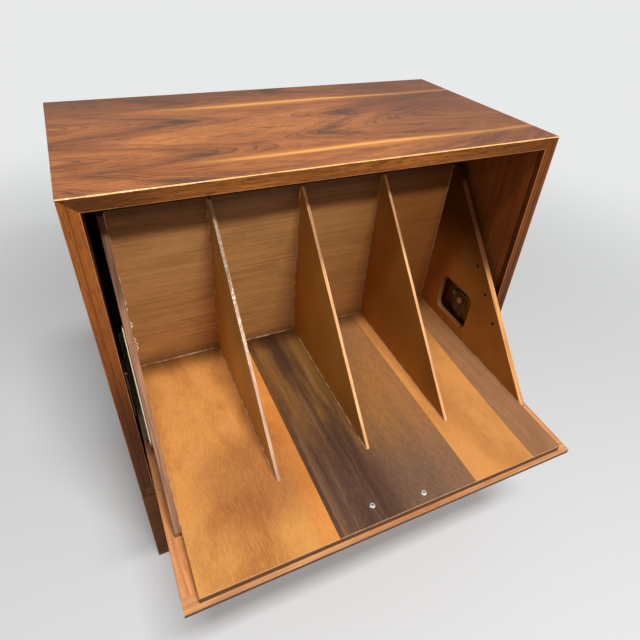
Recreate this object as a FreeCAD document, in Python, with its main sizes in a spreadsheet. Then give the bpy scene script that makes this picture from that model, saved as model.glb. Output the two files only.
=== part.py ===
"""Record cabinet with a tilt-out bin, as a FreeCAD parametric document (millimetres).

A veneered case stands on a low base.  Its whole front is a door that carries a bin: a floor,
two triangular ends and three thin dividers.  The bin turns on two studs and is drawn here
tipped fully open.  X runs to the right, Y to the back and Z up, from the middle of the base's
footprint on the floor.

Pieces of the bin are drawn in the bin's own frame and then tipped open together.  In that
frame Y is the depth behind the liner's face and Z is the height above the bin floor, as both
lie when the bin is shut.
"""
import FreeCAD, Part
import os
import Sketcher

doc = FreeCAD.newDocument("record_cabinet")
sheet = doc.addObject("Spreadsheet::Sheet", "Sizes")

# case
sheet.set("B1", "762")
sheet.setAlias("B1", "width")
sheet.set("B2", "406")
sheet.setAlias("B2", "depth")
sheet.set("B3", "785")
sheet.setAlias("B3", "height")
sheet.set("B4", "19.5")
sheet.setAlias("B4", "top_thickness")
sheet.set("B5", "23")
sheet.setAlias("B5", "side_thickness")
sheet.set("B6", "19")
sheet.setAlias("B6", "bottom_thickness")
sheet.set("B7", "8")
sheet.setAlias("B7", "back_thickness")
sheet.set("B8", "8")
sheet.setAlias("B8", "rebate_width")
sheet.set("B9", "12")
sheet.setAlias("B9", "lipping_depth")
sheet.set("B10", "9.3")
sheet.setAlias("B10", "outer_strip")
sheet.set("B11", "1.2")
sheet.setAlias("B11", "groove_width")
sheet.set("B12", "1.2")
sheet.setAlias("B12", "groove_depth")
sheet.set("B13", "0.8")
sheet.setAlias("B13", "edge_round")
sheet.set("B14", "1.4")
sheet.setAlias("B14", "top_edge_round")
# base
sheet.set("B15", "207.5")
sheet.setAlias("B15", "base_height")
sheet.set("B16", "2.5")
sheet.setAlias("B16", "shadow_gap")
sheet.set("B17", "19")
sheet.setAlias("B17", "base_thickness")
sheet.set("B18", "38")
sheet.setAlias("B18", "post_side")
# door and liner
sheet.set("B19", "3")
sheet.setAlias("B19", "door_side_gap")
sheet.set("B20", "3")
sheet.setAlias("B20", "door_top_gap")
sheet.set("B21", "61.5")
sheet.setAlias("B21", "bin_rise")
sheet.set("B22", "9.5")
sheet.setAlias("B22", "door_thickness")
sheet.set("B23", "2.5")
sheet.setAlias("B23", "skin_thickness")
sheet.set("B24", "23")
sheet.setAlias("B24", "frame_width")
sheet.set("B25", "14")
sheet.setAlias("B25", "liner_thickness")
sheet.set("B26", "7")
sheet.setAlias("B26", "rim_reveal")
sheet.set("B27", "2.5")
sheet.setAlias("B27", "swing_clearance")
sheet.set("B28", "19")
sheet.setAlias("B28", "toe_rail_thickness")
sheet.set("B29", "26.5")
sheet.setAlias("B29", "toe_rail_height")
sheet.set("B30", "2")
sheet.setAlias("B30", "toe_rail_clearance")
# bin
sheet.set("B31", "342")
sheet.setAlias("B31", "floor_length")
sheet.set("B32", "10")
sheet.setAlias("B32", "floor_thickness")
sheet.set("B33", "11")
sheet.setAlias("B33", "end_thickness")
sheet.set("B34", "361")
sheet.setAlias("B34", "end_leg")
sheet.set("B35", "14")
sheet.setAlias("B35", "end_back_height")
sheet.set("B36", "10")
sheet.setAlias("B36", "end_toe")
sheet.set("B37", "6")
sheet.setAlias("B37", "divider_thickness")
sheet.set("B38", "339")
sheet.setAlias("B38", "divider_leg")
sheet.set("B39", "7")
sheet.setAlias("B39", "divider_back_height")
sheet.set("B40", "1.5")
sheet.setAlias("B40", "divider_back_gap")
sheet.set("B41", "3")
sheet.setAlias("B41", "housing_depth")
sheet.set("B42", "0.1")
sheet.setAlias("B42", "housing_play")
sheet.set("B43", "14")
sheet.setAlias("B43", "cleat_side")
sheet.set("B44", "86")
sheet.setAlias("B44", "window_deep")
sheet.set("B45", "100")
sheet.setAlias("B45", "window_high")
sheet.set("B46", "16")
sheet.setAlias("B46", "window_round")
# pivot and its hardware
sheet.set("B47", "67.5")
sheet.setAlias("B47", "pivot_back")
sheet.set("B48", "109")
sheet.setAlias("B48", "pivot_height")
sheet.set("B49", "93.25")
sheet.setAlias("B49", "opening_angle")
sheet.set("B50", "2")
sheet.setAlias("B50", "plate_thickness")
sheet.set("B51", "189")
sheet.setAlias("B51", "plate_length")
sheet.set("B52", "30")
sheet.setAlias("B52", "plate_band")
sheet.set("B53", "3")
sheet.setAlias("B53", "plate_edge_inset")
sheet.set("B54", "8")
sheet.setAlias("B54", "plate_corner_round")
sheet.set("B55", "34")
sheet.setAlias("B55", "web_radius")
sheet.set("B56", "8")
sheet.setAlias("B56", "joggle")
sheet.set("B57", "6")
sheet.setAlias("B57", "joggle_run")
sheet.set("B58", "76")
sheet.setAlias("B58", "joggle_height")
sheet.set("B59", "19")
sheet.setAlias("B59", "screw_inset")
sheet.set("B60", "60")
sheet.setAlias("B60", "screw_pitch")
sheet.set("B61", "2")
sheet.setAlias("B61", "screw_radius")
sheet.set("B62", "0.1")
sheet.setAlias("B62", "screw_hole_play")
sheet.set("B63", "3.8")
sheet.setAlias("B63", "screw_head_radius")
sheet.set("B64", "2.4")
sheet.setAlias("B64", "screw_head_height")
sheet.set("B65", "3")
sheet.setAlias("B65", "counterbore_depth")
sheet.set("B66", "4")
sheet.setAlias("B66", "counterbore_radius")
sheet.set("B67", "4")
sheet.setAlias("B67", "stud_radius")
sheet.set("B68", "0.05")
sheet.setAlias("B68", "stud_play")
sheet.set("B69", "7.5")
sheet.setAlias("B69", "stud_head_radius")
sheet.set("B70", "2.4")
sheet.setAlias("B70", "stud_head_height")
sheet.set("B71", "0.3")
sheet.setAlias("B71", "axial_play")
sheet.set("B72", "10")
sheet.setAlias("B72", "washer_radius")
sheet.set("B73", "23.5")
sheet.setAlias("B73", "stop_radius")
sheet.set("B74", "23")
sheet.setAlias("B74", "stop_angle")
sheet.set("B75", "3")
sheet.setAlias("B75", "stop_pin_radius")
sheet.set("B76", "4.5")
sheet.setAlias("B76", "stop_head_radius")
sheet.set("B77", "0.3")
sheet.setAlias("B77", "slot_play")
sheet.set("B78", "38")
sheet.setAlias("B78", "case_plate_front")
sheet.set("B79", "36")
sheet.setAlias("B79", "case_plate_lean")
sheet.set("B80", "40")
sheet.setAlias("B80", "case_plate_back")
sheet.set("B81", "34")
sheet.setAlias("B81", "case_plate_above")
sheet.set("B82", "44")
sheet.setAlias("B82", "case_plate_below")
sheet.set("B83", "6")
sheet.setAlias("B83", "case_plate_round")
sheet.set("B84", "8.5")
sheet.setAlias("B84", "case_screw_edge")
sheet.set("B85", "1.75")
sheet.setAlias("B85", "wood_screw_radius")
sheet.set("B86", "3.5")
sheet.setAlias("B86", "wood_screw_head")
sheet.set("B87", "16")
sheet.setAlias("B87", "wood_screw_length")
# handle
sheet.set("B88", "130")
sheet.setAlias("B88", "handle_length")
sheet.set("B89", "30.5")
sheet.setAlias("B89", "handle_drop")
sheet.set("B90", "32")
sheet.setAlias("B90", "handle_height")
sheet.set("B91", "28")
sheet.setAlias("B91", "handle_depth")
sheet.set("B92", "7")
sheet.setAlias("B92", "handle_lip")
sheet.set("B93", "8.5")
sheet.setAlias("B93", "handle_root")
sheet.set("B94", "16")
sheet.setAlias("B94", "handle_nose")
sheet.set("B95", "12")
sheet.setAlias("B95", "scoop_depth")
sheet.set("B96", "4")
sheet.setAlias("B96", "scoop_round")
sheet.set("B97", "5")
sheet.setAlias("B97", "handle_round")
sheet.set("B98", "2.5")
sheet.setAlias("B98", "handle_nose_round")
sheet.set("B99", "90")
sheet.setAlias("B99", "handle_screw_pitch")
sheet.set("B100", "13")
sheet.setAlias("B100", "handle_screw_offset")
sheet.set("B101", "6.5")
sheet.setAlias("B101", "handle_screw_grip")
sheet.set("B102", "2")
sheet.setAlias("B102", "handle_screw_radius")
sheet.set("B103", "3.4")
sheet.setAlias("B103", "handle_screw_head")
sheet.set("B104", "5")
sheet.setAlias("B104", "finish_washer_radius")
sheet.set("B105", "1.6")
sheet.setAlias("B105", "finish_washer_height")
# catch
sheet.set("B106", "3.5")
sheet.setAlias("B106", "catch_radius")
sheet.set("B107", "0.75")
sheet.setAlias("B107", "catch_wall")
sheet.set("B108", "12")
sheet.setAlias("B108", "catch_length")
sheet.set("B109", "3")
sheet.setAlias("B109", "strike_radius")
sheet.set("B110", "1.5")
sheet.setAlias("B110", "strike_thickness")
sheet.set("B111", "1.25")
sheet.setAlias("B111", "strike_pin_radius")
sheet.set("B112", "9")
sheet.setAlias("B112", "strike_pin_length")
doc.recompute()

# Outlines of the case, as expressions of the sheet's cells.
FRONT = "(-Sizes.depth / 2)"
BACK = "(Sizes.depth / 2)"
HALF = "(Sizes.width / 2)"
INNER = "(Sizes.width / 2 - Sizes.side_thickness)"
CASE_FOOT = "(Sizes.base_height + Sizes.shadow_gap)"
CASE_FLOOR = "(Sizes.base_height + Sizes.shadow_gap + Sizes.bottom_thickness)"
CEILING = "(Sizes.height - Sizes.top_thickness)"

# The bin's frame, shut: its origin lies where the liner's face meets the bin floor.
LINER_Y = "(%s + Sizes.door_thickness + Sizes.liner_thickness)" % FRONT
BIN_Z = "(%s + Sizes.bin_rise)" % CASE_FLOOR
DOOR_TOP = "(%s - Sizes.door_top_gap - %s)" % (CEILING, BIN_Z)
PIVOT_Y = "(%s + Sizes.pivot_back)" % LINER_Y
PIVOT_Z = "(%s + Sizes.pivot_height)" % BIN_Z
DOOR_HALF = "(%s - Sizes.door_side_gap)" % INNER
END_IN = "(%s - Sizes.frame_width)" % DOOR_HALF
END_OUT = "(%s + Sizes.end_thickness)" % END_IN
HARDWARE_GAP = "(%s - %s)" % (INNER, END_OUT)
SKIN_Y = "(-Sizes.liner_thickness - Sizes.door_thickness)"
FRAME_Y = "(%s + Sizes.skin_thickness)" % SKIN_Y
RIM_Y = "(-Sizes.liner_thickness)"

# The door's outer bottom edge swings on this radius, just clear of the case floor.
SWING = "(%s - %s - Sizes.swing_clearance)" % (PIVOT_Z, CASE_FLOOR)
DOOR_REACH = "(Sizes.pivot_back - %s)" % SKIN_Y
DOOR_FOOT = "(Sizes.pivot_height - sqrt(%s ^ 2 - %s ^ 2))" % (SWING, DOOR_REACH)

NO_TURN = "rotation(vector(0; 0; 1); 0)"
ALONG_X = "rotation(vector(1; 1; 1); 120)"
SHUT = "placement(vector(0; %s; %s); %s)" % (LINER_Y, BIN_Z, NO_TURN)
TIP = ("placement(vector(0; 0; 0); rotation(vector(1; 0; 0); Sizes.opening_angle);"
       " vector(0; %s; %s))" % (PIVOT_Y, PIVOT_Z))
BIN = "%s * %s * " % (TIP, SHUT)

# The hinge plates' frame: from the pivot, with its Z square to the end panels' sloping edge.
TOE_Y = "(%s + Sizes.end_toe)" % RIM_Y
SLOPE_RISE = "(Sizes.end_leg - Sizes.end_back_height)"
SLOPE_RUN = "(Sizes.floor_length - %s)" % TOE_Y
SLOPE_LENGTH = "sqrt(%s ^ 2 + %s ^ 2)" % (SLOPE_RISE, SLOPE_RUN)
EDGE_DISTANCE = ("(((Sizes.end_leg - Sizes.pivot_height) * %s - (Sizes.pivot_back - %s) * %s)"
                 " / %s)" % (SLOPE_RUN, TOE_Y, SLOPE_RISE, SLOPE_LENGTH))
PLATE = (BIN + "placement(vector(0; Sizes.pivot_back; Sizes.pivot_height);"
         " rotation(vector(1; 0; 0); -atan2(%s; %s))) * " % (SLOPE_RISE, SLOPE_RUN))

nodes = []


def keep(obj, label):
    """Name a finished sub-part; it is written to a file of that name."""
    obj.Label = label
    nodes.append(obj)
    return obj


def minus(expression):
    return "-(%s)" % expression


def at(x, y, z, turn=NO_TURN):
    return "placement(vector(%s; %s; %s); %s)" % (x, y, z, turn)


def board(name, low, high, frame=""):
    """A rectangular board between two corners, each given as three expressions."""
    box = doc.addObject("Part::Box", name)
    for side, start, end in zip(("Length", "Width", "Height"), low, high):
        box.setExpression(side, "%s - (%s)" % (end, start))
    box.setExpression("Placement", frame + at(*low))
    return box


def rod(name, radius, length, place):
    """A round rod that starts at its placement and runs along its own Z."""
    cylinder = doc.addObject("Part::Cylinder", name)
    cylinder.setExpression("Radius", radius)
    cylinder.setExpression("Height", length)
    cylinder.setExpression("Placement", place)
    return cylinder


def group(name, pieces):
    """Several solids kept side by side in one object."""
    compound = doc.addObject("Part::Compound", name)
    compound.Links = pieces
    return compound


def fuse(name, pieces):
    joined = doc.addObject("Part::MultiFuse", name)
    joined.Shapes = pieces
    return joined


def cut(name, base, tools):
    """The base piece less its tools."""
    result = doc.addObject("Part::Cut", name)
    result.Base = base
    result.Tool = tools[0] if len(tools) == 1 else group(name + "_tools", tools)
    return result


def outline(body, role, points, offset):
    """A closed outline of straight lines in one of the body's planes.

    Every corner is held by its two distances from the plane's origin, each one an expression.
    """
    sketch = body.newObject("Sketcher::SketchObject", body.Name + "_outline")
    plane = [feature for feature in body.Origin.OriginFeatures if feature.Role == role][0]
    sketch.AttachmentSupport = [(plane, "")]
    sketch.MapMode = "FlatFace"
    sketch.setExpression("AttachmentOffset.Base.z", offset)
    places = [[sheet.evalExpression(text) for text in point] for point in points]
    count = len(points)
    for index in range(count):
        start = FreeCAD.Vector(places[index][0], places[index][1], 0)
        end = FreeCAD.Vector(places[(index + 1) % count][0], places[(index + 1) % count][1], 0)
        sketch.addGeometry(Part.LineSegment(start, end), False)
    for index in range(count):
        sketch.addConstraint(Sketcher.Constraint("Coincident", index, 2, (index + 1) % count, 1))
    for index, point in enumerate(points):
        for kind, axis, text, value in zip(("DistanceX", "DistanceY"), (-2, -1), point,
                                           places[index]):
            if text == "0":
                sketch.addConstraint(Sketcher.Constraint("PointOnObject", index, 1, axis))
                continue
            held = sketch.addConstraint(Sketcher.Constraint(kind, -1, 1, index, 1, value))
            sketch.setExpression("Constraints[%d]" % held, text)
    return sketch


def slab(name, role, points, start, length, frame=""):
    """A body padded from an outline: YZ outlines run along +X, XZ outlines along +Y."""
    body = doc.addObject("PartDesign::Body", name)
    backwards = role == "XZ_Plane"
    sketch = outline(body, role, points, minus(start) if backwards else start)
    pad = body.newObject("PartDesign::Pad", name + "_pad")
    pad.Profile = sketch
    pad.setExpression("Length", length)
    pad.Reversed = backwards
    if frame:
        body.setExpression("Placement", frame + at("0", "0", "0"))
    doc.recompute()
    return body


def mid(edge):
    """The middle of an edge."""
    return edge.valueAt((edge.FirstParameter + edge.LastParameter) / 2)


def ease(body, radius, wanted):
    """Round the edges of a body whose middle point and direction are wanted."""
    last = body.Tip
    names = []
    for number, edge in enumerate(last.Shape.Edges):
        run = edge.Vertexes[-1].Point - edge.Vertexes[0].Point
        if run.Length > 0 and wanted(mid(edge), run.normalize()):
            names.append("Edge%d" % (number + 1))
    fillet = body.newObject("PartDesign::Fillet", body.Name + "_round")
    fillet.Base = (last, names)
    fillet.setExpression("Radius", radius)
    body.Tip = fillet
    doc.recompute()
    return body


def value(expression):
    """The number that an expression of the sheet's cells gives."""
    return float(sheet.evalExpression(expression))


def near(left, right):
    return abs(left - right) < 0.01


def wood_screws(name, spots, turn, length="Sizes.wood_screw_length", frame=""):
    """Countersunk wood screws: a cone let in flush, and a plain shank beyond it."""
    pieces = []
    depth = "(Sizes.wood_screw_head - Sizes.wood_screw_radius)"
    for spot in spots:
        head = doc.addObject("Part::Cone", name + "_head")
        head.setExpression("Radius1", "Sizes.wood_screw_head")
        head.setExpression("Radius2", "Sizes.wood_screw_radius")
        head.setExpression("Height", depth)
        head.setExpression("Placement", frame + at(*spot, turn))
        shank_place = frame + at(*spot, turn) + " * " + at("0", "0", depth)
        shank = rod(name + "_shank", "Sizes.wood_screw_radius", "%s - %s" % (length, depth),
                    shank_place)
        pieces += [head, shank]
    return fuse(name, pieces)


# ---------------------------------------------------------------------------------------------
# The case: panels with solid lippings on their front edges, mitred at the top corners.
# ---------------------------------------------------------------------------------------------
PANEL_FRONT = "(%s + Sizes.lipping_depth)" % FRONT
PANEL_DEPTH = "(Sizes.depth - Sizes.lipping_depth)"
BACK_FACE = "(%s - Sizes.back_thickness)" % BACK

back_blank = board("back_blank",
                   (minus(INNER + " + Sizes.rebate_width"), BACK_FACE,
                    CASE_FLOOR + " - Sizes.rebate_width"),
                   (INNER + " + Sizes.rebate_width", BACK, CEILING + " + Sizes.rebate_width"))

# Screws through the back, in the middle of its rebate.
TOWARDS_FRONT = "rotation(vector(1; 0; 0); 90)"
DOWNWARDS = "rotation(vector(1; 0; 0); 180)"
back_spots = []
for side in ("-", ""):
    for share in ("0.12", "0.5", "0.88"):
        back_spots.append((side + "(%s + Sizes.rebate_width / 2)" % INNER, BACK,
                           "%s + %s * (%s - %s)" % (CASE_FLOOR, share, CEILING, CASE_FLOOR)))
    for level in ("%s - Sizes.rebate_width / 2" % CASE_FLOOR,
                  "%s + Sizes.rebate_width / 2" % CEILING):
        back_spots.append((side + "Sizes.width / 6", BACK, level))
back_screws = keep(wood_screws("back_screws_set", back_spots, TOWARDS_FRONT), "back_screws")
keep(cut("back_cut", back_blank, [back_screws]), "back_panel")

# Screws down through the case's bottom into the base's corner posts.
POST_X = "(%s - Sizes.base_thickness - Sizes.post_side / 2)" % HALF
POST_Y = "(Sizes.depth / 2 - Sizes.base_thickness - Sizes.post_side / 2)"
post_spots = [(sx + POST_X, sy + POST_Y, CASE_FLOOR) for sx in ("-", "") for sy in ("-", "")]
base_screws = keep(wood_screws("base_screws_set", post_spots, DOWNWARDS,
                               "Sizes.bottom_thickness + Sizes.wood_screw_length"),
                   "base_screws")

bottom_blank = board("bottom_blank", (minus(INNER), PANEL_FRONT, CASE_FOOT),
                     (INNER, BACK, CASE_FLOOR))
keep(cut("bottom_cut", bottom_blank, [back_blank, back_screws, base_screws]), "bottom_panel")

# The catch's bore is in the top lipping, over the middle of the door's top rail.
CATCH_SETBACK = "((Sizes.skin_thickness + Sizes.door_thickness) / 2)"
CATCH_Y = "(%s + %s)" % (FRONT, CATCH_SETBACK)
catch_bore = rod("catch_bore", "Sizes.catch_radius", "Sizes.catch_length",
                 at("0", CATCH_Y, CEILING))
top_blank = slab("top_blank", "XZ_Plane",
                 [(minus(INNER), CEILING), (INNER, CEILING), (HALF, "Sizes.height"),
                  (minus(HALF), "Sizes.height")],
                 PANEL_FRONT, PANEL_DEPTH)
keep(cut("top_cut", top_blank, [back_blank, back_screws]), "top_panel")

top_lipping = slab("top_lipping_body", "XZ_Plane",
                   [(minus(INNER), CEILING), (INNER, CEILING), (HALF, "Sizes.height"),
                    (minus(HALF), "Sizes.height")],
                   FRONT, "Sizes.lipping_depth")
ease(top_lipping, "Sizes.top_edge_round",
     lambda spot, run: near(spot.y, value(FRONT)) and near(spot.z, value("Sizes.height")))
ease(top_lipping, "Sizes.edge_round",
     lambda spot, run: near(spot.y, value(FRONT)) and near(spot.z, value(CEILING)))
keep(cut("top_lipping_cut", top_lipping, [catch_bore]), "top_lipping")

STRIP_EDGE = "(%s - Sizes.outer_strip)" % HALF
bottom_lipping = slab("bottom_lipping_body", "XZ_Plane",
                      [(minus(STRIP_EDGE), CASE_FOOT), (STRIP_EDGE, CASE_FOOT),
                       (STRIP_EDGE, CASE_FLOOR), (minus(STRIP_EDGE), CASE_FLOOR)],
                      FRONT, "Sizes.lipping_depth")
ease(bottom_lipping, "Sizes.edge_round",
     lambda spot, run: near(spot.y, value(FRONT)) and abs(run.x) > 0.9)
keep(bottom_lipping, "bottom_lipping")

# Steel plates on the inside of the two sides carry the studs and the stop pins.
CASE_PLATE_IN = "(%s - Sizes.plate_thickness)" % INNER
STOP_Y = "(%s + Sizes.stop_radius * cos(Sizes.stop_angle))" % PIVOT_Y
STOP_Z = "(%s + Sizes.stop_radius * sin(Sizes.stop_angle))" % PIVOT_Z
plate_screw_spots = [
    ("%s - Sizes.case_plate_front + Sizes.case_plate_lean + Sizes.case_screw_edge" % PIVOT_Y,
     "%s + Sizes.case_plate_above - Sizes.case_screw_edge" % PIVOT_Z),
    ("%s + Sizes.case_plate_back - Sizes.case_screw_edge" % PIVOT_Y,
     "%s + Sizes.case_plate_above - Sizes.case_screw_edge" % PIVOT_Z),
    ("%s + Sizes.case_plate_back - Sizes.case_screw_edge" % PIVOT_Y,
     "%s - Sizes.case_plate_below + Sizes.case_screw_edge" % PIVOT_Z),
    ("%s - Sizes.case_plate_front + 2 * Sizes.case_screw_edge" % PIVOT_Y,
     "%s - Sizes.case_plate_below + Sizes.case_screw_edge" % PIVOT_Z)]
case_plate_outline = [
    ("-(Sizes.case_plate_front - Sizes.case_plate_lean)", "Sizes.case_plate_above"),
    ("-Sizes.case_plate_front", "-Sizes.case_plate_below"),
    ("Sizes.case_plate_back", "-Sizes.case_plate_below"),
    ("Sizes.case_plate_back", "Sizes.case_plate_above")]

plate_screw_sets = []
washers = []
for hand, sign, outward in (("left", "-", "-90"), ("right", "", "90")):
    # Everything on this side is drawn for the right and mirrored by its sign.
    turn_out = "rotation(vector(0; 1; 0); %s)" % outward
    far = (lambda text, sign=sign: sign + "(%s)" % text)
    spots = [(far(CASE_PLATE_IN), y, z) for y, z in plate_screw_spots]
    screws = wood_screws(hand + "_case_screws", spots, turn_out)
    plate_screw_sets.append(screws)

    side_blank = slab(hand + "_side_blank", "XZ_Plane",
                      [(far(INNER), CASE_FOOT), (far(HALF), CASE_FOOT),
                       (far(HALF), "Sizes.height"), (far(INNER), CEILING)],
                      PANEL_FRONT, PANEL_DEPTH)
    keep(cut(hand + "_side_cut", side_blank, [back_blank, back_screws, screws]), hand + "_side")

    lipping = slab(hand + "_lipping_body", "XZ_Plane",
                   [(far(INNER), CASE_FLOOR), (far(INNER), CEILING), (far(HALF), "Sizes.height"),
                    (far(HALF), CASE_FOOT), (far(STRIP_EDGE), CASE_FOOT),
                    (far(STRIP_EDGE), CASE_FLOOR)],
                   FRONT, "Sizes.lipping_depth")
    ease(lipping, "Sizes.edge_round",
         lambda spot, run: near(spot.y, value(FRONT)) and abs(run.z) > 0.9
         and not near(abs(spot.x), value(STRIP_EDGE)))
    groove_low = "%s - Sizes.groove_width" % STRIP_EDGE if not sign else minus(STRIP_EDGE)
    groove = board(hand + "_lipping_groove", (groove_low, FRONT, CASE_FLOOR),
                   (groove_low + " + Sizes.groove_width", FRONT + " + Sizes.groove_depth",
                    "Sizes.height"))
    keep(cut(hand + "_lipping_cut", lipping, [groove]), hand + "_lipping")

    start = CASE_PLATE_IN if not sign else minus(INNER)
    case_plate = slab(hand + "_case_plate", "YZ_Plane", case_plate_outline, start,
                      "Sizes.plate_thickness", at("0", PIVOT_Y, PIVOT_Z) + " * ")
    ease(case_plate, "Sizes.case_plate_round", lambda spot, run: abs(run.x) > 0.9)

    # The stud is riveted flush in the case plate; its head holds the bin plate's web.
    web_out = "(%s + Sizes.joggle + Sizes.plate_thickness)" % END_OUT
    web_in = "(%s + Sizes.joggle)" % END_OUT
    head_out = "(%s - Sizes.axial_play)" % web_in
    head_in = "(%s - Sizes.stud_head_height)" % head_out
    shank = rod(hand + "_stud_shank", "Sizes.stud_radius", "%s - %s" % (INNER, head_out),
                at(far(head_out), PIVOT_Y, PIVOT_Z, turn_out))
    head = rod(hand + "_stud_head", "Sizes.stud_head_radius", "Sizes.stud_head_height",
               at(far(head_in), PIVOT_Y, PIVOT_Z, turn_out))
    stud = keep(fuse(hand + "_stud", [shank, head]), hand + "_pivot_stud")
    stop = rod(hand + "_stop", "Sizes.stop_pin_radius", "%s - %s" % (INNER, head_out),
               at(far(head_out), STOP_Y, STOP_Z, turn_out))
    cap = rod(hand + "_stop_head", "Sizes.stop_head_radius", "Sizes.stud_head_height",
              at(far(head_in), STOP_Y, STOP_Z, turn_out))
    pin = keep(fuse(hand + "_stop_set", [stop, cap]), hand + "_stop_pin")
    keep(cut(hand + "_case_plate_cut", case_plate, [screws, stud, pin]), hand + "_pivot_plate")

    # A fibre washer on the stud keeps the two plates apart.
    washer_in = "(%s + Sizes.axial_play)" % web_out
    disc = rod(hand + "_washer_disc", "Sizes.washer_radius",
               "%s - %s" % (CASE_PLATE_IN, washer_in),
               at(far(washer_in), PIVOT_Y, PIVOT_Z, turn_out))
    washers.append(cut(hand + "_washer", disc, [stud]))

keep(group("case_plate_screws", plate_screw_sets), "pivot_plate_screws")
keep(group("washer_pair", washers), "pivot_washers")

# A low rail closes the front under the door.  Its top is hollowed to the door's swing.
toe_blank = board("toe_blank", (minus(INNER), FRONT, CASE_FLOOR),
                  (INNER, FRONT + " + Sizes.toe_rail_thickness",
                   CASE_FLOOR + " + Sizes.toe_rail_height"))
sweep = rod("door_sweep", SWING + " + Sizes.toe_rail_clearance", "Sizes.width",
            at(minus(HALF), PIVOT_Y, PIVOT_Z, ALONG_X))
keep(cut("toe_cut", toe_blank, [sweep]), "bottom_rail")

# The catch: a magnet in a brass sleeve, let into the top.
magnet = rod("magnet_rod", "Sizes.catch_radius - Sizes.catch_wall", "Sizes.catch_length",
             at("0", CATCH_Y, CEILING))
keep(cut("sleeve_cut", catch_bore, [magnet]), "catch_sleeve")
keep(magnet, "catch_magnet")

# ---------------------------------------------------------------------------------------------
# The base: rails flush with the case, a stretcher, and corner posts that carry the case.
# ---------------------------------------------------------------------------------------------
BASE_IN_X = "(%s - Sizes.base_thickness)" % HALF
BASE_IN_Y = "(Sizes.depth / 2 - Sizes.base_thickness)"
keep(board("base_front_board", (minus(HALF), FRONT, "0"),
           (HALF, minus(BASE_IN_Y), "Sizes.base_height")), "base_front")
keep(board("base_back_board", (minus(HALF), BASE_IN_Y, "0"),
           (HALF, BACK, "Sizes.base_height")), "base_back")
keep(board("base_left_board", (minus(HALF), minus(BASE_IN_Y), "0"),
           (minus(BASE_IN_X), BASE_IN_Y, "Sizes.base_height")), "base_left")
keep(board("base_right_board", (BASE_IN_X, minus(BASE_IN_Y), "0"),
           (HALF, BASE_IN_Y, "Sizes.base_height")), "base_right")
keep(board("base_cross_board", ("-Sizes.base_thickness / 2", minus(BASE_IN_Y), "0"),
           ("Sizes.base_thickness / 2", BASE_IN_Y, "Sizes.base_height")), "base_cross_rail")
posts = []
for sx in ("-", ""):
    for sy in ("-", ""):
        middle = (sx + POST_X, sy + POST_Y)
        posts.append(board("post", (middle[0] + " - Sizes.post_side / 2",
                                    middle[1] + " - Sizes.post_side / 2", "0"),
                           (middle[0] + " + Sizes.post_side / 2",
                            middle[1] + " + Sizes.post_side / 2", CASE_FOOT)))
keep(cut("post_cut", group("post_set", posts), [base_screws]), "base_blocks")

# ---------------------------------------------------------------------------------------------
# The door: a core in a solid frame, with a veneered skin outside and a liner inside.
# ---------------------------------------------------------------------------------------------
RAIL_LOW = "(%s - Sizes.frame_width)" % DOOR_TOP
FOOT_HIGH = "(%s + Sizes.frame_width)" % DOOR_FOOT
STILE_IN = "(%s - Sizes.frame_width)" % DOOR_HALF
LINER_TOP = "(%s - Sizes.rim_reveal)" % DOOR_TOP

# The handle's two screws go in from the liner, one a little nearer to the edge.
HANDLE_Z = "(%s - Sizes.handle_drop)" % DOOR_TOP
TO_OUTSIDE = "rotation(vector(1; 0; 0); 90)"
screw_places = [("-Sizes.handle_screw_pitch / 2",
                 "%s - Sizes.handle_screw_offset / 2" % HANDLE_Z),
                ("Sizes.handle_screw_pitch / 2",
                 "%s + Sizes.handle_screw_offset / 2" % HANDLE_Z)]
handle_holes = []
handle_shanks = []
finish_washers = []
HANDLE_SCREW_LENGTH = "(Sizes.finish_washer_height - %s + Sizes.handle_screw_grip)" % SKIN_Y
for x, z in screw_places:
    top_of_washer = at(x, "Sizes.finish_washer_height", z, TO_OUTSIDE)
    shank = rod("handle_shank", "Sizes.handle_screw_radius", HANDLE_SCREW_LENGTH,
                BIN + top_of_washer)
    head = doc.addObject("Part::Cone", "handle_screw_cone")
    head.setExpression("Radius1", "Sizes.handle_screw_head")
    head.setExpression("Radius2", "Sizes.handle_screw_radius")
    head.setExpression("Height", "Sizes.handle_screw_head - Sizes.handle_screw_radius")
    head.setExpression("Placement", BIN + top_of_washer)
    handle_shanks += [shank, head]
    washer = doc.addObject("Part::Cone", "finish_washer_cone")
    washer.setExpression("Radius1", "Sizes.finish_washer_radius")
    washer.setExpression("Radius2", "Sizes.handle_screw_head")
    washer.setExpression("Height", "Sizes.finish_washer_height")
    washer.setExpression("Placement",
                         BIN + at(x, "0", z, "rotation(vector(1; 0; 0); -90)"))
    finish_washers.append(washer)
    handle_holes.append(rod("handle_hole", "Sizes.handle_screw_radius + Sizes.screw_hole_play",
                            minus(SKIN_Y), BIN + at(x, "0", z, TO_OUTSIDE)))
handle_screws = keep(fuse("handle_screw_set", handle_shanks), "handle_screws")
keep(cut("finish_washer_cut", group("finish_washer_set", finish_washers), [handle_screws]),
     "handle_washers")

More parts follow.
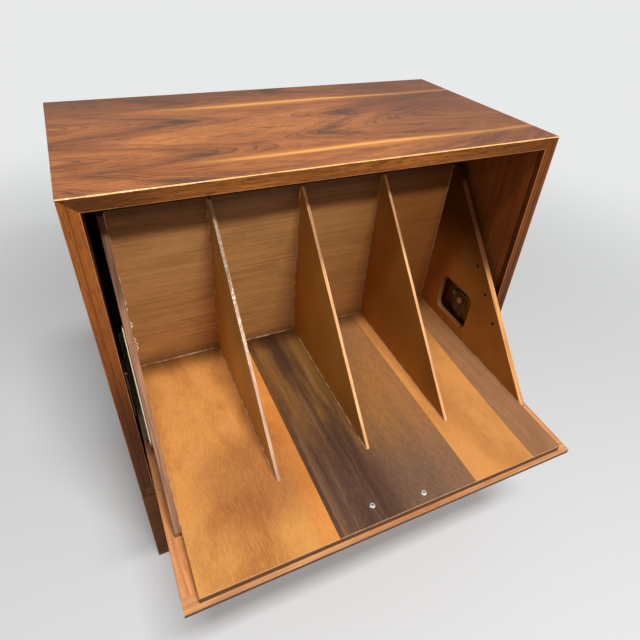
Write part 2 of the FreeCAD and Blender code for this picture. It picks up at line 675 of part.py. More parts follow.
skin_blank = board("skin_board", (minus(DOOR_HALF), SKIN_Y, DOOR_FOOT),
                   (DOOR_HALF, FRAME_Y, DOOR_TOP), BIN)
keep(cut("skin_cut", skin_blank, handle_holes), "door_skin")
core_blank = board("core_board", (minus(STILE_IN), FRAME_Y, FOOT_HIGH),
                   (STILE_IN, RIM_Y, RAIL_LOW), BIN)
keep(cut("core_cut", core_blank, handle_holes), "door_core")
keep(board("stile_left_board", (minus(DOOR_HALF), FRAME_Y, FOOT_HIGH),
           (minus(STILE_IN), RIM_Y, RAIL_LOW), BIN), "door_left_stile")
keep(board("stile_right_board", (STILE_IN, FRAME_Y, FOOT_HIGH),
           (DOOR_HALF, RIM_Y, RAIL_LOW), BIN), "door_right_stile")
keep(board("foot_rail_board", (minus(DOOR_HALF), FRAME_Y, DOOR_FOOT),
           (DOOR_HALF, RIM_Y, FOOT_HIGH), BIN), "door_bottom_rail")

# The strike is a steel disc with a pin, let into the door's top edge under the magnet.
STRIKE_Y = "(%s + %s)" % (SKIN_Y, CATCH_SETBACK)
strike_disc = rod("strike_disc", "Sizes.strike_radius", "Sizes.strike_thickness",
                  BIN + at("0", STRIKE_Y, DOOR_TOP, DOWNWARDS))
strike_pin = rod("strike_spigot", "Sizes.strike_pin_radius", "Sizes.strike_pin_length",
                 BIN + at("0", STRIKE_Y, DOOR_TOP, DOWNWARDS))
catch_strike = keep(fuse("strike_set", [strike_disc, strike_pin]), "catch_strike")
rail_blank = board("top_rail_board", (minus(DOOR_HALF), FRAME_Y, RAIL_LOW),
                   (DOOR_HALF, RIM_Y, DOOR_TOP), BIN)
keep(cut("top_rail_cut", rail_blank, [catch_strike] + handle_holes), "door_top_rail")

# Housings for the dividers run down the liner and along the bin floor.
DIVIDERS = 3
PITCH = "((2 * %s + Sizes.divider_thickness) / %d)" % (END_IN, DIVIDERS + 1)
HOUSING_HALF = "(Sizes.divider_thickness / 2 + Sizes.housing_play)"
divider_places = ["(%d * %s)" % (number - DIVIDERS // 2, PITCH) for number in range(DIVIDERS)]
liner_housings = []
floor_housings = []
for middle in divider_places:
    liner_housings.append(board(
        "liner_housing", (middle + " - " + HOUSING_HALF, "-Sizes.housing_depth",
                          "-Sizes.floor_thickness"),
        (middle + " + " + HOUSING_HALF, "0", "Sizes.divider_leg + Sizes.housing_play"), BIN))
    floor_housings.append(board(
        "floor_housing", (middle + " - " + HOUSING_HALF, "0", "-Sizes.housing_depth"),
        (middle + " + " + HOUSING_HALF, "Sizes.floor_length", "0"), BIN))
liner_blank = board("liner_board", (minus(END_IN), RIM_Y, "-Sizes.floor_thickness"),
                    (END_IN, "0", LINER_TOP), BIN)
keep(cut("liner_cut", liner_blank, liner_housings + handle_holes), "door_liner")
floor_blank = board("floor_board", (minus(END_IN), "0", "-Sizes.floor_thickness"),
                    (END_IN, "Sizes.floor_length", "0"), BIN)
keep(cut("floor_cut", floor_blank, floor_housings), "bin_floor")
keep(slab("cleat_body", "YZ_Plane",
          [("0", "-Sizes.floor_thickness"),
           ("Sizes.cleat_side", "-Sizes.floor_thickness"),
           (RIM_Y, "-Sizes.floor_thickness - Sizes.cleat_side"),
           (RIM_Y, "-Sizes.floor_thickness")],
          minus(END_IN), "2 * %s" % END_IN, BIN), "bin_cleat")

# ---------------------------------------------------------------------------------------------
# The bin: dividers in their housings, and two windowed ends that carry the hinge plates.
# ---------------------------------------------------------------------------------------------
TONGUE = "-(Sizes.housing_depth - Sizes.housing_play)"
DIVIDER_BACK = "(Sizes.floor_length - Sizes.divider_back_gap)"
for number, middle in enumerate(divider_places):
    divider = slab("divider_body_%d" % (number + 1), "YZ_Plane",
                   [(TONGUE, TONGUE), (DIVIDER_BACK, TONGUE),
                    (DIVIDER_BACK, "Sizes.divider_back_height"), ("0", "Sizes.divider_leg"),
                    (TONGUE, "Sizes.divider_leg")],
                   middle + " - Sizes.divider_thickness / 2", "Sizes.divider_thickness", BIN)
    ease(divider, "Sizes.edge_round", lambda spot, run: abs(run.y) > 0.5 and abs(run.z) > 0.5)
    keep(divider, "divider_%d" % (number + 1))

SCREW_ROW = "(%s - Sizes.screw_inset)" % EDGE_DISTANCE
PLATE_TOP = "(%s - Sizes.plate_edge_inset)" % EDGE_DISTANCE
JOGGLE_TOP = "(Sizes.joggle_height + Sizes.joggle_run)"
plate_screws = []
for hand, sign, outward in (("left", "-", "-90"), ("right", "", "90")):
    turn_out = "rotation(vector(0; 1; 0); %s)" % outward
    far = (lambda text, sign=sign: sign + "(%s)" % text)
    end_start = END_IN if not sign else minus(END_OUT)
    panel = slab(hand + "_end_blank", "YZ_Plane",
                 [(RIM_Y, "-Sizes.floor_thickness"),
                  ("Sizes.floor_length", "-Sizes.floor_thickness"),
                  ("Sizes.floor_length", "Sizes.end_back_height"),
                  (TOE_Y, "Sizes.end_leg"), (RIM_Y, "Sizes.end_leg")],
                 end_start, "Sizes.end_thickness", BIN)
    ease(panel, "Sizes.edge_round", lambda spot, run: abs(run.y) > 0.5 and abs(run.z) > 0.5)
    window_low = ("Sizes.pivot_back - Sizes.window_deep / 2",
                  "Sizes.pivot_height - Sizes.window_high / 2")
    window_high = ("Sizes.pivot_back + Sizes.window_deep / 2",
                   "Sizes.pivot_height + Sizes.window_high / 2")
    window = slab(hand + "_window_blank", "YZ_Plane",
                  [(window_low[0], window_low[1]), (window_high[0], window_low[1]),
                   (window_high[0], window_high[1]), (window_low[0], window_high[1])],
                  end_start, "Sizes.end_thickness", BIN)
    ease(window, "Sizes.window_round", lambda spot, run: abs(run.x) > 0.9)

    # Three screws from inside the bin, sunk in counterbores, hold the hinge plate.
    bores = []
    screws = []
    for step in ("-1", "0", "1"):
        along = step + " * Sizes.screw_pitch"
        bores.append(rod(hand + "_counterbore", "Sizes.counterbore_radius",
                         "Sizes.counterbore_depth",
                         PLATE + at(far(END_IN), along, SCREW_ROW, turn_out)))
        bores.append(rod(hand + "_screw_hole", "Sizes.screw_radius + Sizes.screw_hole_play",
                         "Sizes.end_thickness",
                         PLATE + at(far(END_IN), along, SCREW_ROW, turn_out)))
        seat = "(%s + Sizes.counterbore_depth)" % END_IN
        screws.append(rod(hand + "_screw_head", "Sizes.screw_head_radius",
                          "Sizes.screw_head_height",
                          PLATE + at(far(seat + " - Sizes.screw_head_height"), along, SCREW_ROW,
                                     turn_out)))
        screws.append(rod(hand + "_screw_shank", "Sizes.screw_radius",
                          "Sizes.end_thickness - Sizes.counterbore_depth"
                          " + Sizes.plate_thickness",
                          PLATE + at(far(seat), along, SCREW_ROW, turn_out)))
    screw_row = fuse(hand + "_screw_row", screws)
    plate_screws.append(screw_row)
    keep(cut(hand + "_end_cut", panel, [window] + bores), hand + "_end_panel")

    # The hinge plate: a flange on the panel, joggled out to a web that clears the stud's head.
    section = slab(hand + "_plate_section", "XZ_Plane",
                   [(far(END_OUT), PLATE_TOP), (far(END_OUT), JOGGLE_TOP),
                    (far(END_OUT + " + Sizes.joggle"), "Sizes.joggle_height"),
                    (far(END_OUT + " + Sizes.joggle"), "-Sizes.web_radius"),
                    (far(END_OUT + " + Sizes.joggle + Sizes.plate_thickness"),
                     "-Sizes.web_radius"),
                    (far(END_OUT + " + Sizes.joggle + Sizes.plate_thickness"),
                     "Sizes.joggle_height"),
                    (far(END_OUT + " + Sizes.plate_thickness"), JOGGLE_TOP),
                    (far(END_OUT + " + Sizes.plate_thickness"), PLATE_TOP)],
                   "-Sizes.plate_length / 2", "Sizes.plate_length", PLATE)
    shape = slab(hand + "_plate_shape", "YZ_Plane",
                 [("-Sizes.plate_length / 2", PLATE_TOP),
                  ("-Sizes.plate_length / 2", PLATE_TOP + " - Sizes.plate_band"),
                  ("-Sizes.web_radius", "-Sizes.web_radius"),
                  ("Sizes.web_radius", "-Sizes.web_radius"),
                  ("Sizes.plate_length / 2", PLATE_TOP + " - Sizes.plate_band"),
                  ("Sizes.plate_length / 2", PLATE_TOP)],
                 END_OUT if not sign else minus(INNER), HARDWARE_GAP, PLATE)
    ease(shape, "Sizes.plate_corner_round",
         lambda spot, run: abs(run.x) > 0.9 and spot.z > 0)
    ease(shape, "Sizes.web_radius - 1", lambda spot, run: abs(run.x) > 0.9 and spot.z < 0)
    gusset = doc.addObject("Part::Common", hand + "_gusset")
    gusset.Base = section
    gusset.Tool = shape
    # The curved slot lets the stop pin pass from shut to open, and stops the bin at both.
    pivot_frame = BIN + at("0", "Sizes.pivot_back", "Sizes.pivot_height") + " * "
    slot_start = "rotation(vector(1; 0; 0); Sizes.stop_angle - Sizes.opening_angle)"
    web_start = far(END_OUT) if not sign else minus(INNER)
    ring = rod(hand + "_slot_outer", "Sizes.stop_radius + Sizes.stop_pin_radius + Sizes.slot_play",
               HARDWARE_GAP,
               pivot_frame + at(web_start, "0", "0", slot_start) + " * " + at("0", "0", "0",
                                                                             ALONG_X))
    ring.setExpression("Angle", "Sizes.opening_angle")
    core = rod(hand + "_slot_inner", "Sizes.stop_radius - Sizes.stop_pin_radius - Sizes.slot_play",
               HARDWARE_GAP, pivot_frame + at(web_start, "0", "0", ALONG_X))
    ends = []
    for turn in ("Sizes.stop_angle", "Sizes.stop_angle - Sizes.opening_angle"):
        ends.append(rod(hand + "_slot_end", "Sizes.stop_pin_radius + Sizes.slot_play",
                        HARDWARE_GAP,
                        pivot_frame + at("0", "0", "0", "rotation(vector(1; 0; 0); %s)" % turn)
                        + " * " + at(web_start, "Sizes.stop_radius", "0", ALONG_X)))
    slot = fuse(hand + "_slot", [cut(hand + "_slot_ring", ring, [core])] + ends)
    bush = rod(hand + "_bush", "Sizes.stud_radius + Sizes.stud_play", HARDWARE_GAP,
               pivot_frame + at(web_start, "0", "0", ALONG_X))
    keep(cut(hand + "_plate_cut", gusset, [slot, bush, screw_row]), hand + "_bin_plate")
keep(group("bin_plate_screw_set", plate_screws), "bin_plate_screws")

# The pull: a wooden bar on the outside, scooped behind its lip for the fingers.
HANDLE_LOW = "(%s - Sizes.handle_height / 2)" % HANDLE_Z
HANDLE_HIGH = "(%s + Sizes.handle_height / 2)" % HANDLE_Z
HANDLE_OUT = "(%s - Sizes.handle_depth)" % SKIN_Y
SCOOP_LOW = "(%s - Sizes.scoop_depth)" % HANDLE_HIGH
LIP_Y = "(%s + Sizes.handle_lip)" % HANDLE_OUT
pull = slab("pull_body", "YZ_Plane",
            [(SKIN_Y, HANDLE_LOW), (SKIN_Y, HANDLE_HIGH),
             (SKIN_Y + " - Sizes.handle_root", HANDLE_HIGH),
             (SKIN_Y + " - Sizes.handle_root", SCOOP_LOW), (LIP_Y, SCOOP_LOW), (LIP_Y, HANDLE_HIGH),
             (HANDLE_OUT, HANDLE_HIGH),
             (HANDLE_OUT, HANDLE_HIGH + " - Sizes.handle_nose")],
            "-Sizes.handle_length / 2", "Sizes.handle_length", BIN)
ease(pull, "Sizes.handle_round",
     lambda spot, run: near(abs(spot.x), value("Sizes.handle_length / 2"))
     and near(spot.y, value(HANDLE_OUT)))
ease(pull, "Sizes.scoop_round",
     lambda spot, run: abs(run.x) > 0.9 and near(spot.z, value(SCOOP_LOW)))
ease(pull, "Sizes.handle_nose_round",
     lambda spot, run: abs(run.x) > 0.9 and near(spot.y, value(HANDLE_OUT)))
keep(cut("pull_cut", pull, [handle_screws]), "handle")

# ---------------------------------------------------------------------------------------------
doc.recompute()
for obj in doc.Objects:
    if "Invalid" in obj.State or "Error" in obj.State:
        raise RuntimeError("%s (%s) failed: %s" % (obj.Name, obj.Label, obj.State))
os.makedirs("parts", exist_ok=True)
for obj in nodes:
    shape = obj.Shape
    if shape.isNull() or not shape.isValid() or not shape.Solids:
        raise RuntimeError("%s has no valid solid" % obj.Label)
    shape.exportStep(os.path.join("parts", obj.Label + ".step"))
print("%d nodes written" % len(nodes))
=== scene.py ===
"""Record cabinet with a tilt-out bin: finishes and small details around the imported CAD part.

All lengths are in metres, in the part's own frame: X to the right, Y to the back, Z up, from
the middle of the base's footprint.  The bin stands tipped fully open, as the part rests.
"""
import math

import bpy
import numpy as np
from mathutils import Matrix, Vector


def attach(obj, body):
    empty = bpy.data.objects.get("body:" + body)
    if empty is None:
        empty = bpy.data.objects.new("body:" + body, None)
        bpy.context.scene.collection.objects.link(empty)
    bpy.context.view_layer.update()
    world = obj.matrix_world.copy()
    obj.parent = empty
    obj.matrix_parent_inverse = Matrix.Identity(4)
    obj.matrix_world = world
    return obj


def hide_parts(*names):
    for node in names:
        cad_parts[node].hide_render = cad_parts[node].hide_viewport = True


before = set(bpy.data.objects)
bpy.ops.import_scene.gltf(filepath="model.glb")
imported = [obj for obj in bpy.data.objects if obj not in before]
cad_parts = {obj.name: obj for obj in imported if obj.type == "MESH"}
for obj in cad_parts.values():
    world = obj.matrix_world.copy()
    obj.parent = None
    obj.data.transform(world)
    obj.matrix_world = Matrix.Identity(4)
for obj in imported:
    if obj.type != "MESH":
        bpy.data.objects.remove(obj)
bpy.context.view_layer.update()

# -------------------------------------------
# Camera: it stands close to the left front corner, above the top, and looks down into the bin.
# -------------------------------------------
EYE = (-0.3408, -0.79368, 1.0345)
TURN_RIGHT = math.radians(26.857)
LOOK_DOWN = math.radians(37.807)
ROLL = math.radians(3.402)

lens = bpy.data.cameras.new("camera")
lens.lens = 28.183
lens.sensor_width = 36.0
camera = bpy.data.objects.new("camera", lens)
camera.matrix_world = (Matrix.Translation(EYE) @ Matrix.Rotation(-TURN_RIGHT, 4, "Z")
                       @ Matrix.Rotation(math.pi / 2 - LOOK_DOWN, 4, "X")
                       @ Matrix.Rotation(ROLL, 4, "Z"))
bpy.context.scene.collection.objects.link(camera)
bpy.context.scene.camera = camera

# -------------------------------------------
# Studio: a broad soft light above the front, a slim one in front of it, and a pale floor that
# fades into the pale surroundings.
# -------------------------------------------
def soft_light(name, place, target, width, height, watts):
    """A rectangular area light that points from its place at a target."""
    light = bpy.data.lights.new(name, "AREA")
    light.shape = "RECTANGLE"
    light.size = width
    light.size_y = height
    light.energy = watts
    lamp = bpy.data.objects.new(name, light)
    lamp.location = place
    lamp.rotation_euler = (Vector(target) - Vector(place)).to_track_quat("-Z", "Y").to_euler()
    bpy.context.scene.collection.objects.link(lamp)


soft_light("softbox_above", (-0.1, -1.75, 4.4), (0.0, -0.1, 0.4), 1.8, 0.5, 122.0)
soft_light("softbox_front", (0.3, -2.9, 2.75), (0.0, 0.0, 0.6), 1.2, 0.17, 62.0)


class Field:
    """A value that varies over a surface, as one output of a node.

    Fields add, subtract, multiply and divide like numbers.
    """

    def __init__(self, socket):
        self.socket = socket
        self.tree = socket.id_data

    def calc(self, operation, *others, clamp=False):
        """One sum, with this field as its first term."""
        node = self.tree.nodes.new("ShaderNodeMath")
        node.operation = operation
        node.use_clamp = clamp
        for entry, item in zip(node.inputs, (self, *others)):
            feed(entry, item)
        return Field(node.outputs[0])

    def ramp(self, low, high):
        """0 at low, 1 at high, and smooth between; low may be the larger one."""
        node = self.tree.nodes.new("ShaderNodeMapRange")
        node.interpolation_type = "SMOOTHSTEP"
        node.inputs["From Min"].default_value = min(low, high)
        node.inputs["From Max"].default_value = max(low, high)
        node.inputs["To Min"].default_value = float(low > high)
        node.inputs["To Max"].default_value = float(low < high)
        feed(node.inputs["Value"], self)
        return Field(node.outputs["Result"])

    def __add__(self, other):
        return self.calc("ADD", other)

    def __sub__(self, other):
        return self.calc("SUBTRACT", other)

    def __mul__(self, other):
        return self.calc("MULTIPLY", other)

    def __truediv__(self, other):
        return self.calc("DIVIDE", other)

    def __abs__(self):
        return self.calc("ABSOLUTE")


def feed(entry, item):
    """Gives a node's entry a field, a number, or a colour as screens show it, from 0 to 255."""
    if isinstance(item, Field):
        item.tree.links.new(item.socket, entry)
    elif isinstance(item, tuple):
        shares = [channel / 255.0 for channel in item]
        entry.default_value = [share / 12.92 if share <= 0.04045 else
                               ((share + 0.055) / 1.055) ** 2.4 for share in shares] + [1.0]
    else:
        entry.default_value = item


def vector_calc(operation, *inputs):
    """One sum with vectors; a length is a number and the rest are vectors."""
    node = inputs[0].tree.nodes.new("ShaderNodeVectorMath")
    node.operation = operation
    for entry, item in zip(node.inputs, inputs):
        feed(entry, item)
    return Field(node.outputs["Value" if operation == "LENGTH" else "Vector"])


def choose(factor, first, second, end):
    """Sends the end a mix of two shaders: the first at factor 0, the second at 1."""
    node = factor.tree.nodes.new("ShaderNodeMixShader")
    for entry, item in zip(node.inputs, (factor, Field(first), Field(second))):
        feed(entry, item)
    feed(end, Field(node.outputs[0]))


def finish(name, roughness, metallic=0.0, specular=0.5):
    """A new material with its plain shader, whose constants sit on the shader's own sockets."""
    material = bpy.data.materials.new(name)
    material.use_nodes = True
    shader = material.node_tree.nodes["Principled BSDF"]
    shader.inputs["Roughness"].default_value = roughness
    shader.inputs["Metallic"].default_value = metallic
    shader.inputs["Specular IOR Level"].default_value = specular
    return material


def new_mesh(name, points, faces, material):
    """A mesh object at the origin, from an array of points and a list of faces."""
    mesh = bpy.data.meshes.new(name)
    mesh.from_pydata(np.asarray(points).tolist(), [], faces)
    mesh.materials.append(material)
    obj = bpy.data.objects.new(name, mesh)
    bpy.context.scene.collection.objects.link(obj)
    return obj


PALE = (232, 233, 234)
bpy.context.scene.view_settings.view_transform = "Standard"
world = bpy.data.worlds.new("studio")
bpy.context.scene.world = world
world.use_nodes = True
nodes = world.node_tree.nodes
sky = nodes["Background"]
feed(sky.inputs["Color"], (255, 255, 255))
feed(sky.inputs["Strength"], 0.19)
seen = nodes.new("ShaderNodeBackground")
feed(seen.inputs["Color"], PALE)
ray = nodes.new("ShaderNodeLightPath").outputs
choose(Field(ray["Is Camera Ray"]).calc("MAXIMUM", Field(ray["Is Glossy Ray"])),
       sky.outputs[0], seen.outputs[0], nodes["World Output"].inputs["Surface"])

floor_paint = finish("floor_paint", roughness=0.75, specular=0.3)
nodes = floor_paint.node_tree.nodes
paint = nodes["Principled BSDF"]
feed(paint.inputs["Base Color"], (222, 223, 223))
far = nodes.new("ShaderNodeEmission")
feed(far.inputs["Color"], PALE)
ray = nodes.new("ShaderNodeLightPath").outputs
distance = vector_calc("LENGTH", Field(nodes.new("ShaderNodeTexCoord").outputs["Object"]))
choose(distance.ramp(0.8, 2.6) * Field(ray["Is Camera Ray"]),
       paint.outputs[0], far.outputs[0], nodes["Material Output"].inputs["Surface"])

# The floor is a disc of rings: point (radius, angle) lies at radius * (cos, sin) of the angle.
RINGS, SPOKES = 12, 64
radii, angles = np.meshgrid(np.concatenate([[0.01], np.geomspace(0.5, 80.0, RINGS)]),
                            np.linspace(0, 2 * math.pi, SPOKES, endpoint=False), indexing="ij")
disc = np.stack([radii * np.cos(angles), radii * np.sin(angles), 0 * radii], -1).reshape(-1, 3)
ring, turn = np.meshgrid(np.arange(RINGS), np.arange(SPOKES), indexing="ij")
inner, after = ring * SPOKES, (turn + 1) % SPOKES
disc_faces = np.stack([inner + turn, inner + SPOKES + turn, inner + SPOKES + after,
                       inner + after], -1).reshape(-1, 4)
studio_floor = new_mesh("studio_floor", disc, disc_faces.tolist(), floor_paint)

# -------------------------------------------
# The top: a veneered panel, mitred to the sides.  Its face is two flat-cut walnut leaves,
# slip-matched, each with two small arches at the left, one wide arch at the right and a pale
# sapwood line along its front edge.
# -------------------------------------------
def new_group(name, inputs, outputs):
    """An empty shader group, with its inputs as fields and the entries of its outputs.

    An input that starts at None is a vector; all the rest are numbers.
    """
    tree = bpy.data.node_groups.new(name, "ShaderNodeTree")
    for label, start in inputs.items():
        kind = "NodeSocketVector" if start is None else "NodeSocketFloat"
        socket = tree.interface.new_socket(label, in_out="INPUT", socket_type=kind)
        if start is not None:
            socket.default_value = start
    for label in outputs:
        tree.interface.new_socket(label, in_out="OUTPUT", socket_type="NodeSocketFloat")
    given = tree.nodes.new("NodeGroupInput").outputs
    return (tree, {label: Field(given[label]) for label in inputs},
            tree.nodes.new("NodeGroupOutput").inputs)


def use_group(group, place, numbers):
    """A group at work in a material: its outputs by name, as fields."""
    node = place.tree.nodes.new("ShaderNodeGroup")
    node.node_tree = group
    feed(node.inputs["Vector"], place)
    for label, item in numbers.items():
        if isinstance(item, Field):
            feed(node.inputs[label], item)
        else:
            node.inputs[label].default_value = item
    return {socket.name: Field(socket) for socket in node.outputs}


def noise(place, cells, detail=3.0, rough=0.5, warp=0.0, seed=0.0):
    """Noise with its own number of cells per metre along the grain and across it.

    A third number of cells is for the board's thickness, which else has as many as its width.
    """
    mapping = place.tree.nodes.new("ShaderNodeMapping")
    mapping.inputs["Location"].default_value = (seed, seed * 0.7, seed * 1.3)
    mapping.inputs["Scale"].default_value = (*cells, cells[1])[:3]
    feed(mapping.inputs["Vector"], place)
    node = place.tree.nodes.new("ShaderNodeTexNoise")
    for label, item in (("Vector", Field(mapping.outputs[0])), ("Scale", 1.0),
                        ("Detail", detail), ("Roughness", rough), ("Distortion", warp)):
        feed(node.inputs[label], item)
    return Field(node.outputs["Fac"])


def mix(factor, first, second):
    """A colour between two: the first at factor 0, the second at 1."""
    node = factor.tree.nodes.new("ShaderNodeMix")
    node.data_type = "RGBA"
    for entry, item in ((node.inputs["Factor"], factor), (node.inputs[6], first),
                        (node.inputs[7], second)):
        feed(entry, item)
    return Field(node.outputs[2])


def tint(colour, *coats):
    """Lays coats over a colour, each where its mask says and by at most its amount."""
    for mask, amount, paint in coats:
        colour = mix(mask.calc("MULTIPLY", amount, clamp=True), colour, paint)
    return colour


# What every wood here shares.  Radius is the distance from the tree's heart; it is bent by slow
# and quick noise and cut into years, each of which ends in a thin dark line.  Band is the broad
# dark zone that some years share, Streak and Fibre run with the grain, Pore is short dark dashes.
wood_masks, given, out = new_group(
    "wood_masks", {"Vector": None, "Radius": 0.0, "Rings": 100.0, "Wander": 0.03,
                   "Ripple": 0.006}, ("Ring", "Band", "Cloud", "Streak", "Fibre", "Pore"))
place = given["Vector"]
slow = (noise(place, (2.2, 8.0), seed=3.0) - 0.5) * given["Wander"]
quick = (noise(place, (12.0, 60.0), seed=8.0) - 0.5) * given["Ripple"]
years = (given["Radius"] + slow + quick) * given["Rings"]
mood = wood_masks.nodes.new("ShaderNodeTexNoise")
mood.noise_dimensions = "1D"
for label, item in (("Scale", 0.45), ("Detail", 2.0), ("W", years)):
    feed(mood.inputs[label], item)
strong = Field(mood.outputs["Fac"]).ramp(0.45, 0.62)
feed(out["Ring"], years.calc("FRACT").calc("POWER", 4.0) * (strong * 0.6 + 0.4))
feed(out["Band"], strong)
for label, cells, detail, rough, warp, seed, low, high in (
        ("Cloud", (6.0, 20.0), 5.0, 0.6, 0.5, 17.0, 0.40, 0.64),
        ("Streak", (3.5, 150.0), 4.0, 0.6, 0.0, 33.0, 0.40, 0.64),
        ("Fibre", (12.0, 480.0), 2.0, 0.5, 0.0, 41.0, 0.36, 0.66),
        ("Pore", (60.0, 900.0), 1.0, 0.5, 0.0, 53.0, 0.58, 0.68)):
    feed(out[label], noise(place, cells, detail, rough, warp, seed).ramp(low, high))


def wood(place, radius, rings, wander, ripple):
    """The shared wood masks for one board, by name."""
    return use_group(wood_masks, place, {"Radius": radius, "Rings": rings, "Wander": wander,
                                         "Ripple": ripple})


# Turns that bring a board's grain onto X, and its width onto Y.
ACROSS_TOP = (0.0, 0.0, 0.0)
ACROSS_FRONT = (-math.pi / 2, 0.0, 0.0)
UP_SIDE = (0.0, math.pi / 2, 0.0)
UP_FRONT = (math.pi / 2, 0.0, math.pi / 2)
ALONG_BASE_SIDE = (-math.pi / 2, -math.pi / 2, 0.0)
DOWN_DOOR = (math.radians(-3.25), 0.0, -math.pi / 2)


def board_place(material, turn=ACROSS_TOP, shift=(0.0, 0.0, 0.0)):
    """Object coordinates turned onto the board's grain, as a vector and its X, Y and Z."""
    nodes = material.node_tree.nodes
    mapping = nodes.new("ShaderNodeMapping")
    mapping.inputs["Rotation"].default_value = turn
    mapping.inputs["Location"].default_value = shift
    feed(mapping.inputs["Vector"], Field(nodes.new("ShaderNodeTexCoord").outputs["Object"]))
    split = nodes.new("ShaderNodeSeparateXYZ")
    place = Field(mapping.outputs[0])
    feed(split.inputs[0], place)
    return place, [Field(socket) for socket in split.outputs]


def arch(along, across, tip, side, lean, spread):
    """Ring radius in flat-cut wood: nested arches that all point at one tip.

    radius = sqrt((across - side - lean * (along - tip))^2 + 0.013^2) + spread * (along - tip)
    """
    past = along - tip
    off = across - (past * lean + side)
    return (off * off + 0.013 ** 2).calc("SQRT") + past * spread


def lay_on(material, colour, height=None, strength=0.2):
    """Feeds a colour, and a height through a bump, to the material's shader."""
    shader = material.node_tree.nodes["Principled BSDF"]
    feed(shader.inputs["Base Color"], colour)
    if height is not None:
        bump = material.node_tree.nodes.new("ShaderNodeBump")
        bump.invert = True
        for label, item in (("Strength", strength), ("Distance", 0.0002), ("Height", height)):
            feed(bump.inputs[label], item)
        feed(shader.inputs["Normal"], Field(bump.outputs[0]))


def cover(material, *names):
    """Puts a material on CAD nodes."""
    for name in names:
        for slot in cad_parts[name].material_slots:
            slot.material = material


LEAF = 0.249
LEAF_START = -0.142


def top_colour(material):
    """The top's colour: two arches at each leaf's left, two at its right, and the sapwood."""
    place, (along, width, _) = board_place(material)
    sway = (noise(place, (3.0, 9.0), seed=71.0) * 0.044
            + noise(place, (9.0, 22.0), detail=2.0, seed=77.0) * 0.022 - 0.033)
    leaf = ((width - LEAF_START) / LEAF).calc("FLOOR")
    across = width + sway - (leaf * LEAF + LEAF_START)
    radius = arch(along, across, -0.137, 0.036, -0.065, 0.23)
    for tip, side, lean, spread in ((-0.150, 0.172, -0.12, 0.23), (0.046, 0.161, 0.0, -0.23),
                                    (-0.019, 0.070, 0.165, -0.35)):
        radius = radius.calc("SMOOTH_MIN", arch(along, across, tip, side, lean, spread), 0.012)
    masks = wood(place, radius, rings=150.0, wander=0.012, ripple=0.005)
    wide = noise(place, (2.6, 7.0), detail=4.0, rough=0.6, seed=87.0)
    flecks = noise(place, (26.0, 230.0), detail=4.0, rough=0.7, seed=57.0)
    colour = tint(mix(wide.ramp(0.38, 0.62), (154, 84, 50), (212, 130, 72)),
                  (masks["Streak"], 0.32, (212, 138, 66)),
                  (masks["Fibre"], 0.28, (212, 138, 66)),
                  (flecks.ramp(0.50, 0.64), 0.42, (92, 44, 26)),
                  (masks["Cloud"], 0.22, (58, 28, 16)),
                  (masks["Band"], 0.20, (58, 30, 20)),
                  (masks["Ring"] * (radius.ramp(0.055, 0.018) * 0.55 + 0.45), 0.85,
                   (52, 28, 20)),
                  (masks["Pore"], 0.45, (44, 20, 12)))
    # The outline of every arch is a smoky dark band, widest near its tip, and so is its core.
    # The whole leaf darkens towards the right, the back and the left: painted shade, where the
    # light and its sheen fall off.
    smoke = noise(place, (9.0, 50.0), detail=5.0, rough=0.7, seed=23.0)
    tips = abs(along - 0.03).ramp(0.15, 0.02).calc(
        "MAXIMUM", abs(along + 0.165).ramp(0.13, 0.02))
    outline = radius.ramp(-0.014, 0.0) * radius.ramp(0.020, 0.004) * smoke.ramp(0.34, 0.62)
    core = radius.ramp(-0.044, -0.030) * radius.ramp(-0.014, -0.026) * smoke.ramp(0.42, 0.66)
    colour = tint(colour,
                  (outline * (tips * 0.6 + 0.4), 0.82, (66, 46, 38)),
                  (core, 0.50, (66, 46, 38)),
                  (along.ramp(0.04, 0.26), 0.58, (84, 46, 32)),
                  (width.ramp(0.04, 0.20) * (along.ramp(-0.05, 0.20) * -0.7 + 1.0), 0.62,
                   (84, 46, 28)),
                  (width.ramp(-0.08, 0.04) * along.ramp(-0.02, -0.2), 0.28, (78, 42, 28)))
    # Pale sapwood runs along each leaf's front edge, brightest in the middle of its line.
    drift = noise(place, (2.4, 0.0), detail=1.0, seed=31.0) * 0.05 - 0.025
    share = ((width + drift - (LEAF_START - LEAF / 2)) / LEAF).calc("FRACT")
    off = abs(share - 0.5) * LEAF
    patchy = noise(place, (5.0, 60.0), seed=37.0)
    reach = along.ramp(-0.30, -0.02) * (along.ramp(0.08, 0.30) * -0.65 + 1.0)
    colour = tint(colour,
                  (off.ramp(0.024, 0.004) * patchy.ramp(0.30, 0.60) * reach, 0.50,
                   (224, 140, 54)),
                  (off.ramp(0.008, 0.001) * patchy.ramp(0.25, 0.50) * reach, 0.80,
                   (250, 182, 98)))
    return colour, masks


top_veneer = finish("top_veneer", roughness=0.42, specular=0.07)
colour, masks = top_colour(top_veneer)
lay_on(top_veneer, colour, masks["Pore"])
cover(top_veneer, "top_panel")

# -------------------------------------------
# The sides, the door's outer skin and the case's bottom: boards faced with flat-cut walnut.
# The grain stands upright on the sides and the door, and the inside of the case is stained.
# -------------------------------------------
def facing(material, axis):
    """How squarely a face looks along an axis (0, 1 or 2): the size of its normal there."""
    nodes = material.node_tree.nodes
    split = nodes.new("ShaderNodeSeparateXYZ")
    feed(split.inputs[0], Field(nodes.new("ShaderNodeNewGeometry").outputs["True Normal"]))
    return abs(Field(split.outputs[axis]))


